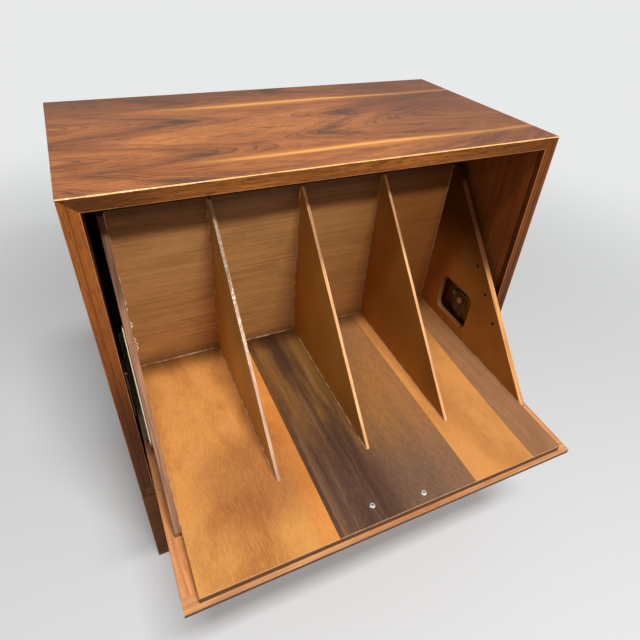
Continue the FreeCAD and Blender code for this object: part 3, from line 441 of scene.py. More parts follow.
def wood_colour(masks, light, main, dark, ring, band=0.3, cloud=0.3, streak=0.3, fibre=0.4,
                pore=0.4):
    """One wood's colour from its masks: a main colour with lighter fibre and darker figure."""
    return tint(main, (masks["Streak"], streak, light), (masks["Fibre"], fibre, light),
                (masks["Cloud"], cloud, dark), (masks["Band"], band, dark),
                (masks["Ring"], ring, dark), (masks["Pore"], pore, dark))


def from_edge(distance, edge):
    """1 on the outer face at an edge, and 0 from 0.6 mm inside it."""
    return distance.ramp(edge - 0.0006, edge - 0.0002)


# The bin turns on its pivot, whose place is given in the case, and in the shut bin as its depth
# behind the liner's face and its height above the bin's floor.
PIVOT_Y, PIVOT_Z = -0.112, 0.3995
PIVOT_DEPTH, PIVOT_HEIGHT = 0.0675, 0.109
OPENING = math.radians(93.25)
DOOR_TOP, DOOR_EDGE = 0.472, 0.355


def bin_place(material):
    """The shut bin's own coordinates: x, depth behind the liner's face, height above its floor."""
    cos, sin = math.cos(OPENING), math.sin(OPENING)
    return board_place(material, (-OPENING, 0.0, 0.0), (
        0.0, PIVOT_DEPTH - cos * PIVOT_Y - sin * PIVOT_Z,
        PIVOT_HEIGHT + sin * PIVOT_Y - cos * PIVOT_Z))[1]


def side_colour(material, turn, side):
    """Upright walnut with one long arch, round a heart that lies almost in the board.

    radius = sqrt((across - side)^2 + (0.09 * (along - 0.95))^2)
    """
    place, (along, across, _) = board_place(material, turn)
    off, far = across - side, (along - 0.95) * 0.09
    masks = wood(place, (off * off + far * far).calc("SQRT"), rings=110.0, wander=0.02,
                 ripple=0.005)
    return wood_colour(masks, (176, 104, 50), (144, 78, 34), (66, 32, 14), ring=0.45, band=0.15,
                       cloud=0.25, streak=0.25, fibre=0.3), masks


for label, turn, side, names in (("side_veneer", UP_SIDE, 0.02, ("left_side", "right_side")),
                                 ("door_veneer", DOWN_DOOR, 0.03, ("door_skin",)),
                                 ("bottom_veneer", ACROSS_TOP, 0.3, ("bottom_panel",))):
    veneer = finish(label, roughness=0.45, specular=0.12)
    colour, masks = side_colour(veneer, turn, side)
    if label == "side_veneer":
        # Painted shade darkens the inside a little, and the left side's inside, which stands in a
        # dark gap, almost to black.
        x = board_place(veneer)[1][0]
        inside = abs(x).ramp(0.3604, 0.3598)
        colour = tint(colour, (inside, 0.12, (58, 24, 8)),
                      (x.ramp(0.1, -0.1) * inside, 0.8, (18, 8, 3)))
    if label == "door_veneer":
        # Only its outside is veneered: the inner side and the edges are dark.
        x, depth, height = bin_place(veneer)
        edges = depth.ramp(-0.0233, -0.0230).calc(
            "MAXIMUM", from_edge(height, DOOR_TOP)).calc("MAXIMUM", from_edge(abs(x), DOOR_EDGE))
        colour = mix(edges, colour, (86, 46, 24))
    lay_on(veneer, colour, masks["Pore"])
    cover(veneer, *names)

# -------------------------------------------
# Solid walnut edge strips, glued round the case's front.  The finish is rubbed through to pale
# wood along the top's front corner, with small chips there, and a painted highlight brightens
# that rounded corner.
# -------------------------------------------
# Distance to a straight corner, as the length of (place - point) x direction, is compared with
# a width that noise varies along the corner.
corner_wear, given, out = new_group(
    "corner_wear", {"Vector": None, "Point": None, "Direction": None, "Width": 0.002,
                    "Raggedness": 0.5, "Cells": 60.0}, ("Mask",))
away = vector_calc("CROSS_PRODUCT", vector_calc("SUBTRACT", given["Vector"], given["Point"]),
                   given["Direction"])
ragged = corner_wear.nodes.new("ShaderNodeTexNoise")
for label, item in (("Vector", given["Vector"]), ("Scale", given["Cells"]), ("Detail", 5.0),
                    ("Roughness", 0.65)):
    feed(ragged.inputs[label], item)
varied = (Field(ragged.outputs["Fac"]) - 0.5) * (given["Raggedness"] * 4.0) + 1.0
worn_width = (given["Width"] * varied).calc("MAXIMUM", 0.00001)
share = vector_calc("LENGTH", away) / worn_width
feed(out["Mask"], share.calc("MULTIPLY_ADD", -1.0, 1.0, clamp=True))


def worn(material, colour, point, direction, width, bare, amount, ragged=0.5, cells=60.0):
    """Rubs a colour through to the bare wood along one corner."""
    mask = use_group(corner_wear, board_place(material)[0], {
        "Point": point, "Direction": direction, "Width": width, "Raggedness": ragged,
        "Cells": cells})["Mask"]
    return tint(colour, (mask.ramp(0.0, 0.35), amount, bare))


def straight_wood(material, turn, rings, wander, ripple):
    """Masks for a board whose rings run straight along it, after its own coordinates."""
    place, axes = board_place(material, turn)
    return place, wood(place, axes[1], rings, wander, ripple)


def lipping_colour(material, turn, cloud=0.25):
    """The colour and the masks of a straight-grained walnut strip."""
    masks = straight_wood(material, turn, rings=260.0, wander=0.05, ripple=0.004)[1]
    return wood_colour(masks, (184, 112, 44), (148, 82, 30), (62, 30, 10), ring=0.20, band=0.10,
                       cloud=cloud, streak=0.35, fibre=0.5, pore=0.65), masks


# Where the case's outer faces lie, and the inner corners of its edge strips.
FRONT_Y = -0.203
TOP_Z = 0.785
SIDE_X = 0.381
TOP_STRIP_Z = 0.7655
SIDE_STRIP_X = 0.358
LOW_STRIP_Z = 0.229
GROOVE_X = 0.3711
ALONG, UP = (1.0, 0.0, 0.0), (0.0, 0.0, 1.0)

top_strip = finish("top_strip", roughness=0.42, specular=0.12)
above, _ = top_colour(top_strip)
colour, masks = lipping_colour(top_strip, ACROSS_FRONT, cloud=0.45)
dashes = noise(board_place(top_strip, ACROSS_FRONT)[0], (30.0, 420.0), detail=4.0, rough=0.7,
               seed=73.0)
colour = tint(colour, (dashes.ramp(0.50, 0.62), 0.45, (62, 30, 10)))
colour = mix(facing(top_strip, 2).ramp(0.6, 0.8), colour, above)
# Its front face darkens towards both ends.
x = board_place(top_strip)[1][0]
front_face = facing(top_strip, 2).ramp(0.8, 0.6)
colour = tint(colour, (front_face * x.ramp(-0.16, -0.33), 0.76, (50, 18, 1)),
              (front_face * x.ramp(0.0, 0.30), 0.56, (50, 18, 1)))
corner = (0.0, FRONT_Y, TOP_Z)
# The pale line along the top's front corner is partly wear and partly a painted highlight on the
# rounded corner.
colour = worn(top_strip, colour, corner, ALONG, 0.0016, (250, 196, 122), amount=0.9, cells=38.0)
chipped = worn(top_strip, colour, corner, ALONG, 0.0007, (255, 228, 186), amount=0.85,
               ragged=2.2, cells=210.0)
colour = mix(x.ramp(-0.18, -0.24), colour, chipped)
colour = worn(top_strip, colour, (0.0, FRONT_Y, TOP_STRIP_Z), ALONG, 0.0012, (196, 130, 74),
              amount=0.7)
lay_on(top_strip, colour, masks["Pore"])
cover(top_strip, "top_lipping")

# The side strips have painted shade: they darken downwards, in their grooves and on their inner
# sides, the left one the most, as it stands in deeper shade.  The right one, past x = 0.35, is
# darker all over.
for side, hand, below, groove, inner in (("left", -1, 0.80, 0.10, 0.75),
                                         ("right", 1, 0.45, 0.45, 0.20)):
    strip = finish(side + "_strip", roughness=0.45, specular=0.12)
    colour, masks = lipping_colour(strip, UP_FRONT)
    outside, _ = side_colour(strip, UP_SIDE, 0.02)
    x, _, z = board_place(strip)[1]
    sideways = facing(strip, 0).ramp(0.6, 0.8)
    colour = tint(colour, (masks["Streak"], 0.3, (140, 58, 22)))
    colour = tint(mix(sideways, colour, outside),
                  (z.ramp(0.66, 0.40), below, (50, 17, 1)),
                  (x.ramp(0.350, 0.352), 0.52, (48, 14, 0)),
                  (abs(x - hand * GROOVE_X).ramp(0.0012, 0.0005), groove, (50, 22, 12)),
                  (sideways * abs(x).ramp(0.3640, 0.3620), inner, (24, 10, 4)))
    for corner in (hand * SIDE_X, hand * SIDE_STRIP_X):
        colour = worn(strip, colour, (corner, FRONT_Y, 0.0), UP, 0.0012, (196, 120, 66),
                      amount=0.7)
    lay_on(strip, colour, masks["Pore"])
    cover(strip, side + "_lipping")

# The low strip, the rail and the handle are cut from the same wood, darker at the left end.
low_strip = finish("low_strip", roughness=0.42, specular=0.12)
colour, masks = lipping_colour(low_strip, ACROSS_FRONT)
colour = worn(low_strip, colour, (0.0, FRONT_Y, LOW_STRIP_Z), ALONG, 0.0012, (196, 130, 74),
              amount=0.6)
x = board_place(low_strip)[1][0]
colour = tint(colour, (x.ramp(-0.20, -0.34), 0.7, (56, 26, 8)))
lay_on(low_strip, colour, masks["Pore"])
cover(low_strip, "bottom_lipping", "bottom_rail", "handle")

# -------------------------------------------
# The base: four rails of the same walnut, glued to posts at their corners and stained darker.
# It is scuffed along its foot and its corners.
# -------------------------------------------
for label, turn, names in (("base_along", ACROSS_FRONT, ("base_front", "base_back")),
                           ("base_side", ALONG_BASE_SIDE, ("base_left", "base_right"))):
    stained = finish(label, roughness=0.5, specular=0.12)
    masks = straight_wood(stained, turn, rings=160.0, wander=0.05, ripple=0.005)[1]
    colour = wood_colour(masks, (126, 72, 18), (104, 58, 12), (58, 31, 7), ring=0.25, band=0.1,
                         cloud=0.4, streak=0.2, fibre=0.25)
    for corner in (-SIDE_X, SIDE_X):
        colour = worn(stained, colour, (corner, FRONT_Y, 0.0), UP, 0.0012, (150, 96, 56),
                      amount=0.6)
    colour = worn(stained, colour, (0.0, FRONT_Y, 0.0), ALONG, 0.004, (128, 90, 60), amount=0.5,
                  ragged=1.0)
    lay_on(stained, colour, masks["Pore"])
    cover(stained, *names)

# -------------------------------------------
# The bin's floor: a board with golden veneer, glued at a right angle to the door's liner.  Fine,
# close grain lines run along its width, and it darkens to the right.  Painted shadow of the case's
# top darkens it towards its free edge, and painted shade darkens its corner with the liner.
# -------------------------------------------
bin_veneer = finish("bin_veneer", roughness=0.5, specular=0.12)
place, masks = straight_wood(bin_veneer, ACROSS_FRONT, rings=210.0, wander=0.04, ripple=0.008)
lines = noise(place, (4.5, 300.0), rough=0.6, seed=61.0)
x, depth, _ = bin_place(bin_veneer)
colour = tint(wood_colour(masks, (214, 160, 102), (198, 144, 87), (134, 87, 41), ring=0.18,
                          band=0.10, cloud=0.30, streak=0.25, fibre=0.3, pore=0.35),
              (lines.ramp(0.50, 0.66), 0.42, (136, 88, 46)),
              (x.ramp(-0.17, 0.02), 0.14, (146, 88, 0)),
              (x.ramp(-0.02, 0.30), 0.74, (118, 60, 8)),
              # Painted shadow of the case's top towards the free edge, and painted shade in the
              # corner with the liner.
              (depth.ramp(0.27, 0.30), 0.50, (74, 34, 6)),
              (depth.ramp(0.316, 0.336), 0.55, (52, 22, 4)),
              (depth.ramp(0.036, 0.0), 0.55, (104, 64, 28)))
lay_on(bin_veneer, colour, masks["Pore"])
cover(bin_veneer, "bin_floor")

# -------------------------------------------
# Dividers and end panels: stained plywood triangles, glued into the bin's corner.  Their sloping
# edges are raw, so they are paler than their faces.
# -------------------------------------------
def ply_colour(material, face_light, face_dark, edge_light, edge_dark):
    """Blotchy stain on the two faces, and paler raw edges with the plies' lines."""
    place = board_place(material, UP_SIDE)[0]
    blotch = noise(place, (6.0, 11.0), detail=4.0, rough=0.55, seed=5.0)
    fibre = noise(place, (20.0, 600.0), seed=9.0)
    face = tint(mix(blotch.ramp(0.22, 0.78), face_dark, face_light),
                (fibre.ramp(0.5, 0.8), 0.25, face_light))
    plies = noise(place, (14.0, 14.0, 1100.0), detail=2.0, seed=12.0)
    patch = noise(place, (30.0, 30.0), detail=4.0, rough=0.6, seed=15.0)
    edge = tint(mix(plies.ramp(0.38, 0.62), edge_dark, edge_light),
                (patch.ramp(0.55, 0.75), 0.4, edge_dark))
    return mix(facing(material, 0).ramp(0.5, 0.7), edge, face), fibre


# Each end's three screw holes stand in a row, whose middle and direction are given in the bin.
HOLE_DEPTH, HOLE_HEIGHT = 0.1442, 0.1855
ROW_BACK, ROW_DOWN = 0.70609, 0.70812
HALF_PITCH = 0.03
ROW_END = 0.079

# The three dividers are the same ply: the colours of their faces are painted lighter or darker for
# the light that reaches each, the first the lightest and the third the darkest.
for name, face_light, face_dark, edge_light, edge_dark in (
        ("divider_1", (222, 176, 98), (196, 148, 78), (226, 186, 158), (170, 126, 102)),
        ("divider_2", (198, 146, 66), (176, 124, 54), (248, 196, 142), (206, 146, 98)),
        ("divider_3", (182, 124, 52), (160, 104, 40), (248, 192, 138), (200, 140, 92)),
        ("left_end_panel", (180, 124, 66), (146, 94, 46), (166, 118, 88), (118, 80, 58)),
        ("right_end_panel", (186, 124, 54), (156, 98, 38), (238, 176, 110), (190, 130, 78))):
    ply = finish(name + "_ply", roughness=0.5, specular=0.12)
    colour, fibre = ply_colour(ply, face_light, face_dark, edge_light, edge_dark)
    edge = facing(ply, 0).ramp(0.7, 0.5)
    x, depth, height = bin_place(ply)
    if name == "divider_1":
        # Its sloping edge is chipped through to pale wood over the upper half.
        z = board_place(ply)[1][2]
        chips = noise(board_place(ply, UP_SIDE)[0], (34.0, 240.0), detail=5.0, rough=0.75,
                      seed=91.0)
        colour = tint(colour, (chips.ramp(0.52, 0.57) * edge * abs(z - 0.56).ramp(0.115, 0.06),
                               0.95, (240, 226, 208)))
    if name.endswith("panel"):
        # Its three counterbores are painted dark inside, as shade in the holes, and rubbed pale
        # round their rims, and the window's walls are darker.
        past = (depth - HOLE_DEPTH) * ROW_BACK - (height - HOLE_HEIGHT) * ROW_DOWN
        off = (depth - HOLE_DEPTH) * ROW_DOWN + (height - HOLE_HEIGHT) * ROW_BACK
        near = past.calc("WRAP", HALF_PITCH, -HALF_PITCH)
        from_hole = (near * near + off * off).calc("SQRT")
        row = abs(past).ramp(ROW_END + 0.001, ROW_END - 0.001)
        colour = tint(colour,
                      (row * from_hole.ramp(0.0066, 0.0052), 0.45, (214, 164, 112)),
                      (row * from_hole.ramp(0.0052, 0.0046), 0.70, (48, 26, 14)),
                      (row * from_hole.ramp(0.00412, 0.00404), 0.92, (22, 12, 7)),
                      (edge * (depth + height).ramp(0.32, 0.30), 0.75, (92, 58, 44)))
    if name == "left_end_panel":
        # Painted shade: its outer face, in the dark gap beside the case's side, is near black.
        colour = tint(colour, (x.ramp(-0.3412, -0.3426), 0.85, (52, 25, 13)))
    if name == "right_end_panel":
        # Painted shadow of the case's top: it darkens from the liner towards the far corner of the
        # bin's floor, and so does its edge.
        colour = tint(colour, (edge * depth.ramp(0.17, 0.21), 0.88, (92, 52, 38)),
                      (depth.ramp(0.12, 0.26), 0.92, (62, 26, 1)))
    lay_on(ply, colour, fibre, 0.1)
    cover(ply, name)

# -------------------------------------------
# The liner: a raised panel, glued to the door's inner side.  Its face is four veneer strips side
# by side, gold, dark walnut, gold and mid-brown, each with its grain from the bin's floor to the
# door's edge.
# -------------------------------------------
def opened(points):
    """Places in the open bin, for points of the shut bin.

    A point is (x, depth behind the liner's face, height above the bin's floor).  It is measured
    from the pivot there, turned by the opening about X, and set down at the case's pivot.
    """
    x, depth, height = np.asarray(points, float).T
    back, up = depth - PIVOT_DEPTH, height - PIVOT_HEIGHT
    return np.stack([x, PIVOT_Y + math.cos(OPENING) * back - math.sin(OPENING) * up,
                     PIVOT_Z + math.sin(OPENING) * back + math.cos(OPENING) * up], -1)


liner_veneer = finish("liner_veneer", roughness=0.45, specular=0.12)
place, masks = straight_wood(liner_veneer, DOWN_DOOR, rings=70.0, wander=0.10, ripple=0.006)
x, y, _ = board_place(liner_veneer)[1]
blotch = noise(place, (5.0, 9.0), detail=5.0, rough=0.6, warp=0.5, seed=5.0)
mottle = noise(place, (18.0, 26.0), detail=5.0, rough=0.65, seed=6.0)
hair = noise(place, (14.0, 520.0), seed=7.0)
grain = noise(place, (70.0, 460.0), rough=0.6, seed=29.0)
# The gold strips are mottled.  A darker cloud lies in front of the left divider's foot, and the
# first strip turns orange beside its seam.
off, ahead = (x + 0.185) / 0.125, (y + 0.315) / 0.100
cloud = off * off + ahead * ahead + (mottle * 1.6 - 0.8)
gold = tint(mix(blotch.ramp(0.32, 0.58), (174, 109, 55), (215, 149, 79)),
            (mottle.ramp(0.46, 0.70), 0.34, (162, 98, 50)),
            (mottle.ramp(0.46, 0.28), 0.28, (234, 170, 92)),
            (hair.ramp(0.5, 0.75), 0.20, (238, 174, 98)),
            (cloud.ramp(1.2, 0.1), 0.55, (146, 86, 50)),
            (x.ramp(-0.165, -0.120) * x.ramp(-0.110, -0.115), 0.45, (228, 138, 56)),
            (grain.ramp(0.46, 0.70), 0.20, (150, 88, 44)),
            (grain.ramp(0.52, 0.30), 0.20, (238, 172, 98)),
            (x.ramp(0.0, 0.1), 0.4, (210, 142, 80)))

# The dark strip turns from olive at the back to a purplish brown in front.  A darker streak runs
# down its middle, with a pale one beside it at the back.
shade = noise(place, (4.0, 22.0), detail=4.0, rough=0.6, warp=0.3, seed=19.0)
stripes = noise(place, (2.4, 105.0), detail=4.0, rough=0.65, warp=0.4, seed=45.0)
front = y.ramp(-0.16, -0.40)
streak = abs(x - (y * -0.12 - 0.068)).ramp(0.036, 0.008)
dark = tint(mix(front, (128, 88, 46), (98, 70, 56)),
            (shade.ramp(0.40, 0.62), 0.55, (70, 46, 34)),
            (shade.ramp(0.44, 0.30), 0.35, (150, 104, 50)),
            (masks["Ring"], 0.30, (58, 38, 30)),
            (x.ramp(-0.02, 0.06) * y.ramp(-0.36, -0.18), 0.34, (188, 122, 50)),
            (grain.ramp(0.52, 0.30), 0.20, (150, 114, 84)),
            (masks["Pore"], 0.35, (48, 32, 26)),
            (stripes.ramp(0.54, 0.66), 0.50, (142, 104, 74)),
            (stripes.ramp(0.47, 0.36), 0.45, (58, 38, 30)),
            (streak * shade.ramp(0.30, 0.55), front * -0.25 + 0.62, (54, 38, 32)),
            (abs(x + 0.018).ramp(0.018, 0.004) * y.ramp(-0.24, -0.08), 0.6, (158, 116, 58)))
# Its right part is smoother and paler.
smooth = tint(mix(y.ramp(-0.26, -0.42), (166, 112, 58), (122, 90, 70)),
              (masks["Ring"], 0.22, (84, 56, 40)),
              (shade.ramp(0.62, 0.40), 0.35, (108, 84, 62)),
              (x.ramp(0.06, 0.13), 0.30, (172, 118, 80)),
              (grain.ramp(0.46, 0.70), 0.22, (84, 58, 44)),
              (grain.ramp(0.52, 0.30), 0.20, (176, 138, 106)),
              (masks["Pore"], 0.35, (70, 46, 34)))
dark = mix((shade * 0.09 + x).ramp(0.020, 0.085), dark, smooth)
brown = wood_colour(masks, (184, 132, 90), (156, 110, 74), (104, 70, 48), ring=0.25, band=0.1,
                    cloud=0.25, streak=0.25, fibre=0.3, pore=0.35)

# Seams: where one strip of veneer ends and the next begins, a hairline darker than both.
# The last seam is no straight cut: there the gold turns to brown along a curve.
colour = gold
for start, strip in ((-0.1165, dark), (0.1405, gold)):
    past = x - start
    colour = tint(mix(past.ramp(-0.0002, 0.0002), colour, strip),
                  (abs(past).ramp(0.0007, 0.0002), 0.5, (58, 34, 22)))
curve = ((y + 0.45) / 0.286).calc("MAXIMUM", 0.0).calc("POWER", 1.8) * 0.008
colour = mix((x - 0.269 - curve).ramp(-0.0014, 0.0014), colour, brown)

# Painted shade darkens it along the corner with the bin's floor, most of all in the last bay,
# which stands in deeper shade.
# Round its edges the panel's core shows dark, partly painted shade on those edge faces, under a
# pale worn corner.
_, depth, height = bin_place(liner_veneer)
last_bay = x.ramp(0.166, 0.170)
colour = tint(colour, ((mottle * 0.03 + height).ramp(0.062, 0.010), 0.66, (76, 44, 22)),
              (last_bay * (mottle * 0.06 + height).ramp(0.25, 0.06), 0.62, (124, 78, 36)))
LINER_TOP = 0.465
LINER_EDGE = 0.332
edges = depth.ramp(-0.0002, -0.0005).calc(
    "MAXIMUM", from_edge(height, LINER_TOP)).calc("MAXIMUM", from_edge(abs(x), LINER_EDGE))
colour = worn(liner_veneer, mix(edges, colour, (96, 64, 46)), opened([(0.0, 0.0, LINER_TOP)])[0],
              ALONG, 0.0011, (226, 178, 132), amount=0.6)
lay_on(liner_veneer, colour, masks["Pore"])
cover(liner_veneer, "door_liner")

# -------------------------------------------
# The door's solid frame and core, glued up between its two skins, the plain pieces inside the
# base, and the back, a thin plywood panel in a rebate.
# -------------------------------------------
def plain_wood(material, turn, light, main, dark, cloud=0.35):
    """The colour and the masks of pale wood that has had no stain."""
    masks = straight_wood(material, turn, rings=200.0, wander=0.04, ripple=0.004)[1]
    return wood_colour(masks, light, main, dark, ring=0.35, cloud=cloud, fibre=0.5,
                       pore=0.3), masks


frame_wood = finish("frame_wood", roughness=0.5, specular=0.12)
colour, masks = plain_wood(frame_wood, ACROSS_TOP, (240, 184, 128), (208, 142, 90),
                           (150, 94, 54), cloud=0.5)
# It is dark along the door's outer edges.
_, depth, height = bin_place(frame_wood)
outer = from_edge(height, DOOR_TOP) * depth.ramp(-0.0150, -0.0168)
lay_on(frame_wood, mix(outer, colour, (84, 50, 32)), masks["Pore"])
cover(frame_wood, "door_top_rail", "door_bottom_rail", "bin_cleat", "base_blocks",
      "base_cross_rail", "door_core")

stile_wood = finish("stile_wood", roughness=0.5, specular=0.12)
colour, masks = plain_wood(stile_wood, DOWN_DOOR, (250, 182, 120), (222, 144, 90), (150, 92, 54))
# Painted shade: the stiles' outer faces, which stand in shade, are dark.
outer = from_edge(abs(bin_place(stile_wood)[0]), DOOR_EDGE)
lay_on(stile_wood, mix(outer, colour, (92, 54, 32)), masks["Pore"])
cover(stile_wood, "door_left_stile", "door_right_stile")

# The back panel's inside is much darker.
back_ply = finish("back_ply", roughness=0.6, specular=0.1)
colour, masks = plain_wood(back_ply, ACROSS_TOP, (226, 170, 114), (198, 138, 86), (140, 90, 52))
y = board_place(back_ply)[1][1]
colour = tint(colour, (y.ramp(0.1972, 0.1962), 0.9, (34, 19, 11)))
lay_on(back_ply, colour, masks["Pore"])
cover(back_ply, "back_panel")

# -------------------------------------------
# Hardware: hinge plates of cream passivated steel, screwed to the case and to the bin's ends.
# They have riveted zinc studs and pins, and dull screws.
# -------------------------------------------
def mottled(material, cells, seed, low, high, light, dark):
    """One shade that turns to another as noise goes from low to high, and that noise."""
    wear = noise(board_place(material)[0], (cells, cells), seed=seed)
    return mix(wear.ramp(low, high), light, dark), wear


plate_steel = finish("plate_steel", roughness=0.5, metallic=0.8)
place, (x, _, _) = board_place(plate_steel)
wear = noise(place, (170.0, 170.0, 40.0), detail=5.0, rough=0.7, seed=2.0)
# The faces are painted a dark olive for the shade they stand in between the bin and the case,
# mottled like patina, and darker still on the left.
colour = tint(mix(wear.ramp(0.36, 0.66), (138, 122, 84), (74, 62, 42)),
              (x.ramp(0.1, -0.1), 0.6, (38, 33, 24)))
# Their sheared edges show the bright cream passivation.
lay_on(plate_steel, mix(facing(plate_steel, 0).ramp(0.35, 0.25), colour, (142, 132, 106)))
cover(plate_steel, "left_pivot_plate", "right_pivot_plate", "left_bin_plate", "right_bin_plate")

zinc = finish("zinc", roughness=0.28, metallic=1.0)
wear = noise(board_place(zinc)[0], (200.0, 200.0), seed=4.0)
lay_on(zinc, mix(wear, (206, 208, 210), (150, 152, 156)))
cover(zinc, "left_pivot_stud", "right_pivot_stud", "left_stop_pin", "right_stop_pin",
      "pivot_plate_screws", "back_screws", "base_screws")

# Bright nickel on the finish washers and screws of the handle, a brass sleeve round the dark
# ferrite magnet, and red-brown fibre washers on the pivots.
for label, metallic, roughness, light, dark, name in (
        ("nickel", 0.9, 0.22, (246, 246, 244), (206, 204, 198), "handle_washers"),
        ("brass", 1.0, 0.3, (226, 188, 110), (150, 112, 56), "catch_sleeve"),
        ("ferrite", 0.0, 0.7, (70, 68, 68), (36, 35, 35), "catch_magnet"),
        ("fibre", 0.0, 0.8, (150, 70, 46), (98, 44, 30), "pivot_washers")):
    material = finish(label, roughness, metallic)
    colour, wear = mottled(material, 420.0, 6.0, 0.42, 0.68, light, dark)
    lay_on(material, colour, wear, 0.15)
    cover(material, name)

dull_steel = finish("dull_steel", roughness=0.45, metallic=1.0)
lay_on(dull_steel, mottled(dull_steel, 300.0, 14.0, 0.4, 0.6, (112, 100, 84), (52, 46, 40))[0])
cover(dull_steel, "bin_plate_screws", "catch_strike")

# -------------------------------------------
# Glue lines: a thin bead of dried glue, pressed out along every corner of the bin when it was
# glued up, and uneven along its length.
# -------------------------------------------
def bead(start, end, first, second, seed):
    """A bead in a corner, from start to end, that reaches along two faces.

    Its section has the corner, a point on each face at radius r and a hollow middle at 0.35 r,
    with r = 0.0009 + 0.0009 * random along its length.
    """
    steps = max(3, int(np.linalg.norm(np.subtract(end, start)) / 0.007))
    share = np.linspace(0, 1, steps)[:, None]
    line = np.asarray(start) * (1 - share) + np.asarray(end) * share
    size = 0.0009 + 0.0009 * np.random.default_rng(seed).random((steps, 1))
    first, second = np.asarray(first, float), np.asarray(second, float)
    rows = np.stack([line, line + size * first, line + 0.35 * size * (first + second),
                     line + size * second], 1)
    step, corner = np.meshgrid(np.arange(steps - 1), np.arange(4), indexing="ij")
    after = (corner + 1) % 4
    faces = np.stack([step * 4 + corner, step * 4 + after, (step + 1) * 4 + after,
                      (step + 1) * 4 + corner], -1).reshape(-1, 4)
    caps = np.array([[3, 2, 1, 0], [0, 1, 2, 3]]) + np.array([[0], [4 * (steps - 1)]])
    return opened(rows.reshape(-1, 3)), np.concatenate([faces, caps])


# Where the four bays begin and end across the bin, and how far the beads run: up an end panel,
# up a divider, and along the bin's floor.
BAYS = ((-LINER_EDGE, -0.1705), (-0.1645, -0.003), (0.003, 0.1645), (0.1705, LINER_EDGE))
UP_END, UP_DIVIDER, ALONG_FLOOR = 0.36, 0.339, 0.338
BACK = (0.0, 1.0, 0.0)

lines = []
for bay in BAYS:
    for wall, hand in zip(bay, (1, -1)):
        rise = UP_END if abs(wall) == LINER_EDGE else UP_DIVIDER
        lines.append(((wall, 0, 0), (wall, 0, rise), (hand, 0, 0), BACK))
        lines.append(((wall, 0, 0), (wall, ALONG_FLOOR, 0), (hand, 0, 0), UP))
for left, right in BAYS:
    lines.append(((left, 0, 0), (right, 0, 0), BACK, UP))
points, faces = [], []
for number, line in enumerate(lines):
    some, more = bead(*line, seed=number)
    faces.append(more + sum(len(item) for item in points))
    points.append(some)
dried_glue = finish("dried_glue", roughness=0.6, specular=0.3)
colour, _ = mottled(dried_glue, 60.0, 27.0, 0.35, 0.65, (150, 108, 76), (226, 190, 152))
x = board_place(dried_glue)[1][0]
lay_on(dried_glue, tint(colour, (x.ramp(-0.16, 0.20), 0.75, (132, 92, 60))))
glue_lines = new_mesh("glue_lines", np.concatenate(points), np.concatenate(faces).tolist(),
                      dried_glue)
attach(glue_lines, "bin")

# -------------------------------------------
# Splinters: where the left end's sloping edge was sawn, cream chips of its ply stand off the
# inner corner.  They have been torn loose at one end and are held by the rest of the ply.
# -------------------------------------------
# Chip k runs along the corner from start to start - length; its free middle stands off by reach:
# place(t) = corner(start - length * t) + reach * (1 - (2t - 1)^2) * outward, half as thick as
# wide.
CHIPS, STEPS = 9, 6
starts = np.array([0.276, 0.262, 0.250, 0.241, 0.226, 0.2215, 0.208, 0.2035, 0.200])[:, None]
length = np.array([0.009, 0.005, 0.007, 0.004, 0.006, 0.003, 0.005, 0.004, 0.006])[:, None]
reach = np.array([0.0012, 0.001, 0.0012, 0.001, 0.0028, 0.0022, 0.0024, 0.0034, 0.0026])[:, None]
INNER_CORNER = -0.3322
SLOPE = 0.3565
share = np.linspace(0.0, 1.0, STEPS + 1)[None, :]
bulge = 1 - (2 * share - 1) ** 2
depth = starts - length * share
free = reach * bulge * (0.75 + 0.5 * np.random.default_rng(5).random((CHIPS, STEPS + 1)))
corner = np.stack([INNER_CORNER + free, depth, SLOPE - depth + 0.3 * free], -1)
width = (0.0003 + 0.0007 * bulge * np.ones((CHIPS, 1)))[..., None]
ring = np.stack([corner + width * np.array(side) for side in (
    (0.5, 0.7, 0.7), (-0.8, 0.2, 0.2), (-0.3, -0.7, -0.7), (0.8, -0.2, -0.2))], 2)
chip, step, edge = np.meshgrid(np.arange(CHIPS), np.arange(STEPS), np.arange(4),
                               indexing="ij")
index = (chip * (STEPS + 1) + step) * 4
after = (edge + 1) % 4
faces = np.stack([index + edge, index + 4 + edge, index + 4 + after, index + after], -1)
ends = np.arange(CHIPS)[:, None] * (STEPS + 1) * 4
faces = np.concatenate([faces.reshape(-1, 4), ends + np.array([[0, 1, 2, 3]]),
                        ends + STEPS * 4 + np.array([[3, 2, 1, 0]])])
torn_ply = finish("torn_ply", roughness=0.7, specular=0.2)
lay_on(torn_ply, mottled(torn_ply, 300.0, 35.0, 0.35, 0.65, (206, 172, 122), (250, 228, 184))[0])
splinters = new_mesh("splinters", opened(ring.reshape(-1, 3)), faces.tolist(), torn_ply)
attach(splinters, "bin")

# -------------------------------------------
# The handle's screws: nickel-plated steel, with a countersunk head that sits in its finish
# washer and a cross recess for the driver.
# -------------------------------------------
ROWS, ROUND = 34, 96


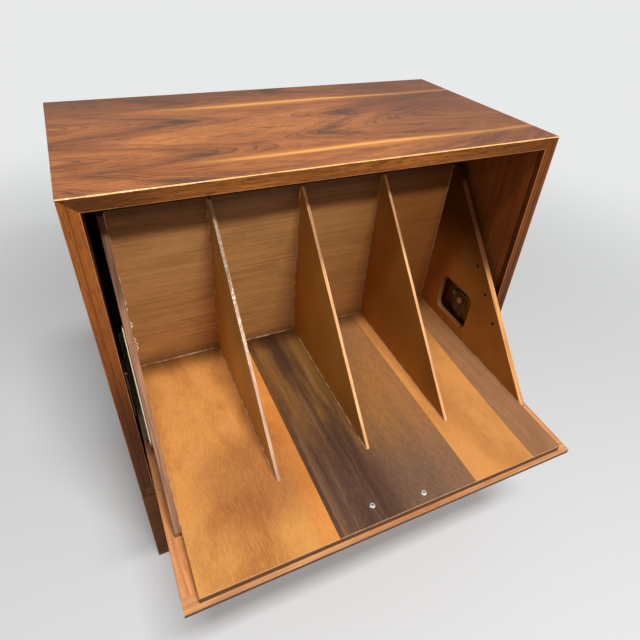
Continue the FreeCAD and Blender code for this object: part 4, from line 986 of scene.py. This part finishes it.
def cross_head(x, height, spin, start):
    """One screw, turned about its own axis, whose faces count its points from start.

    Rows of points at (radius, depth) go out over the head, down its cone and along its shank.
    Over the head, depth = 1.5 mm * s(0.55 - min(|a|, |b|)) * s(2.1 - r), where (a, b) are the
    point's distances in mm along the recess's two arms and s goes from 0 to 1 in 0.25 mm.
    """
    over = ROWS - 4
    radius = np.concatenate([np.linspace(0.01, 3.3, over), [3.4, 2.0, 2.0, 0.6]])[:, None] * 0.001
    down = np.concatenate([np.zeros(over), [0.1, 1.5, 30.3, 31.6]])[:, None] * 0.001
    angle = np.linspace(0, 2 * math.pi, ROUND, endpoint=False)[None, :]
    arms = np.minimum(abs(radius * np.cos(angle - spin)), abs(radius * np.sin(angle - spin)))
    recess = np.clip((0.00055 - arms) / 0.00025, 0, 1) * np.clip((0.0021 - radius) / 0.00025, 0, 1)
    spots = np.stack([x + radius * np.cos(angle), 0.0016 - down - 0.0015 * recess,
                      height + radius * np.sin(angle)], -1)
    row, turn = np.meshgrid(np.arange(ROWS - 1) * ROUND, np.arange(ROUND), indexing="ij")
    after = (turn + 1) % ROUND
    sides = np.stack([row + turn, row + after, row + ROUND + after, row + ROUND + turn], -1)
    # The head's middle and the shank's tip close both ends, as the last two points.
    ends = [[x, 0.0001, height], [x, -0.0302, height]]
    turn, after, last = turn[0], after[0], row[-1] + ROUND
    fan = np.stack([0 * turn + ROWS * ROUND, after, turn], -1)
    point = np.stack([0 * turn + ROWS * ROUND + 1, last + turn, last + after], -1)
    return (opened(np.concatenate([spots.reshape(-1, 3), ends])),
            (sides.reshape(-1, 4) + start).tolist() + (fan + start).tolist()
            + (point + start).tolist())


screw_nickel = finish("screw_nickel", roughness=0.3, metallic=0.9)
colour, _ = mottled(screw_nickel, 500.0, 6.0, 0.42, 0.68, (240, 240, 238), (196, 192, 184))
# Painted shade darkens the recess.
recess = bin_place(screw_nickel)[1].ramp(0.0014, 0.0009)
lay_on(screw_nickel, mix(recess, colour, (40, 36, 32)))
first, first_faces = cross_head(-0.045, 0.435, spin=0.5, start=0)
second, second_faces = cross_head(0.045, 0.448, spin=1.1, start=len(first))
cross_screws = new_mesh("cross_screws", np.concatenate([first, second]),
                        first_faces + second_faces, screw_nickel)
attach(cross_screws, "bin")
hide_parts("handle_screws")
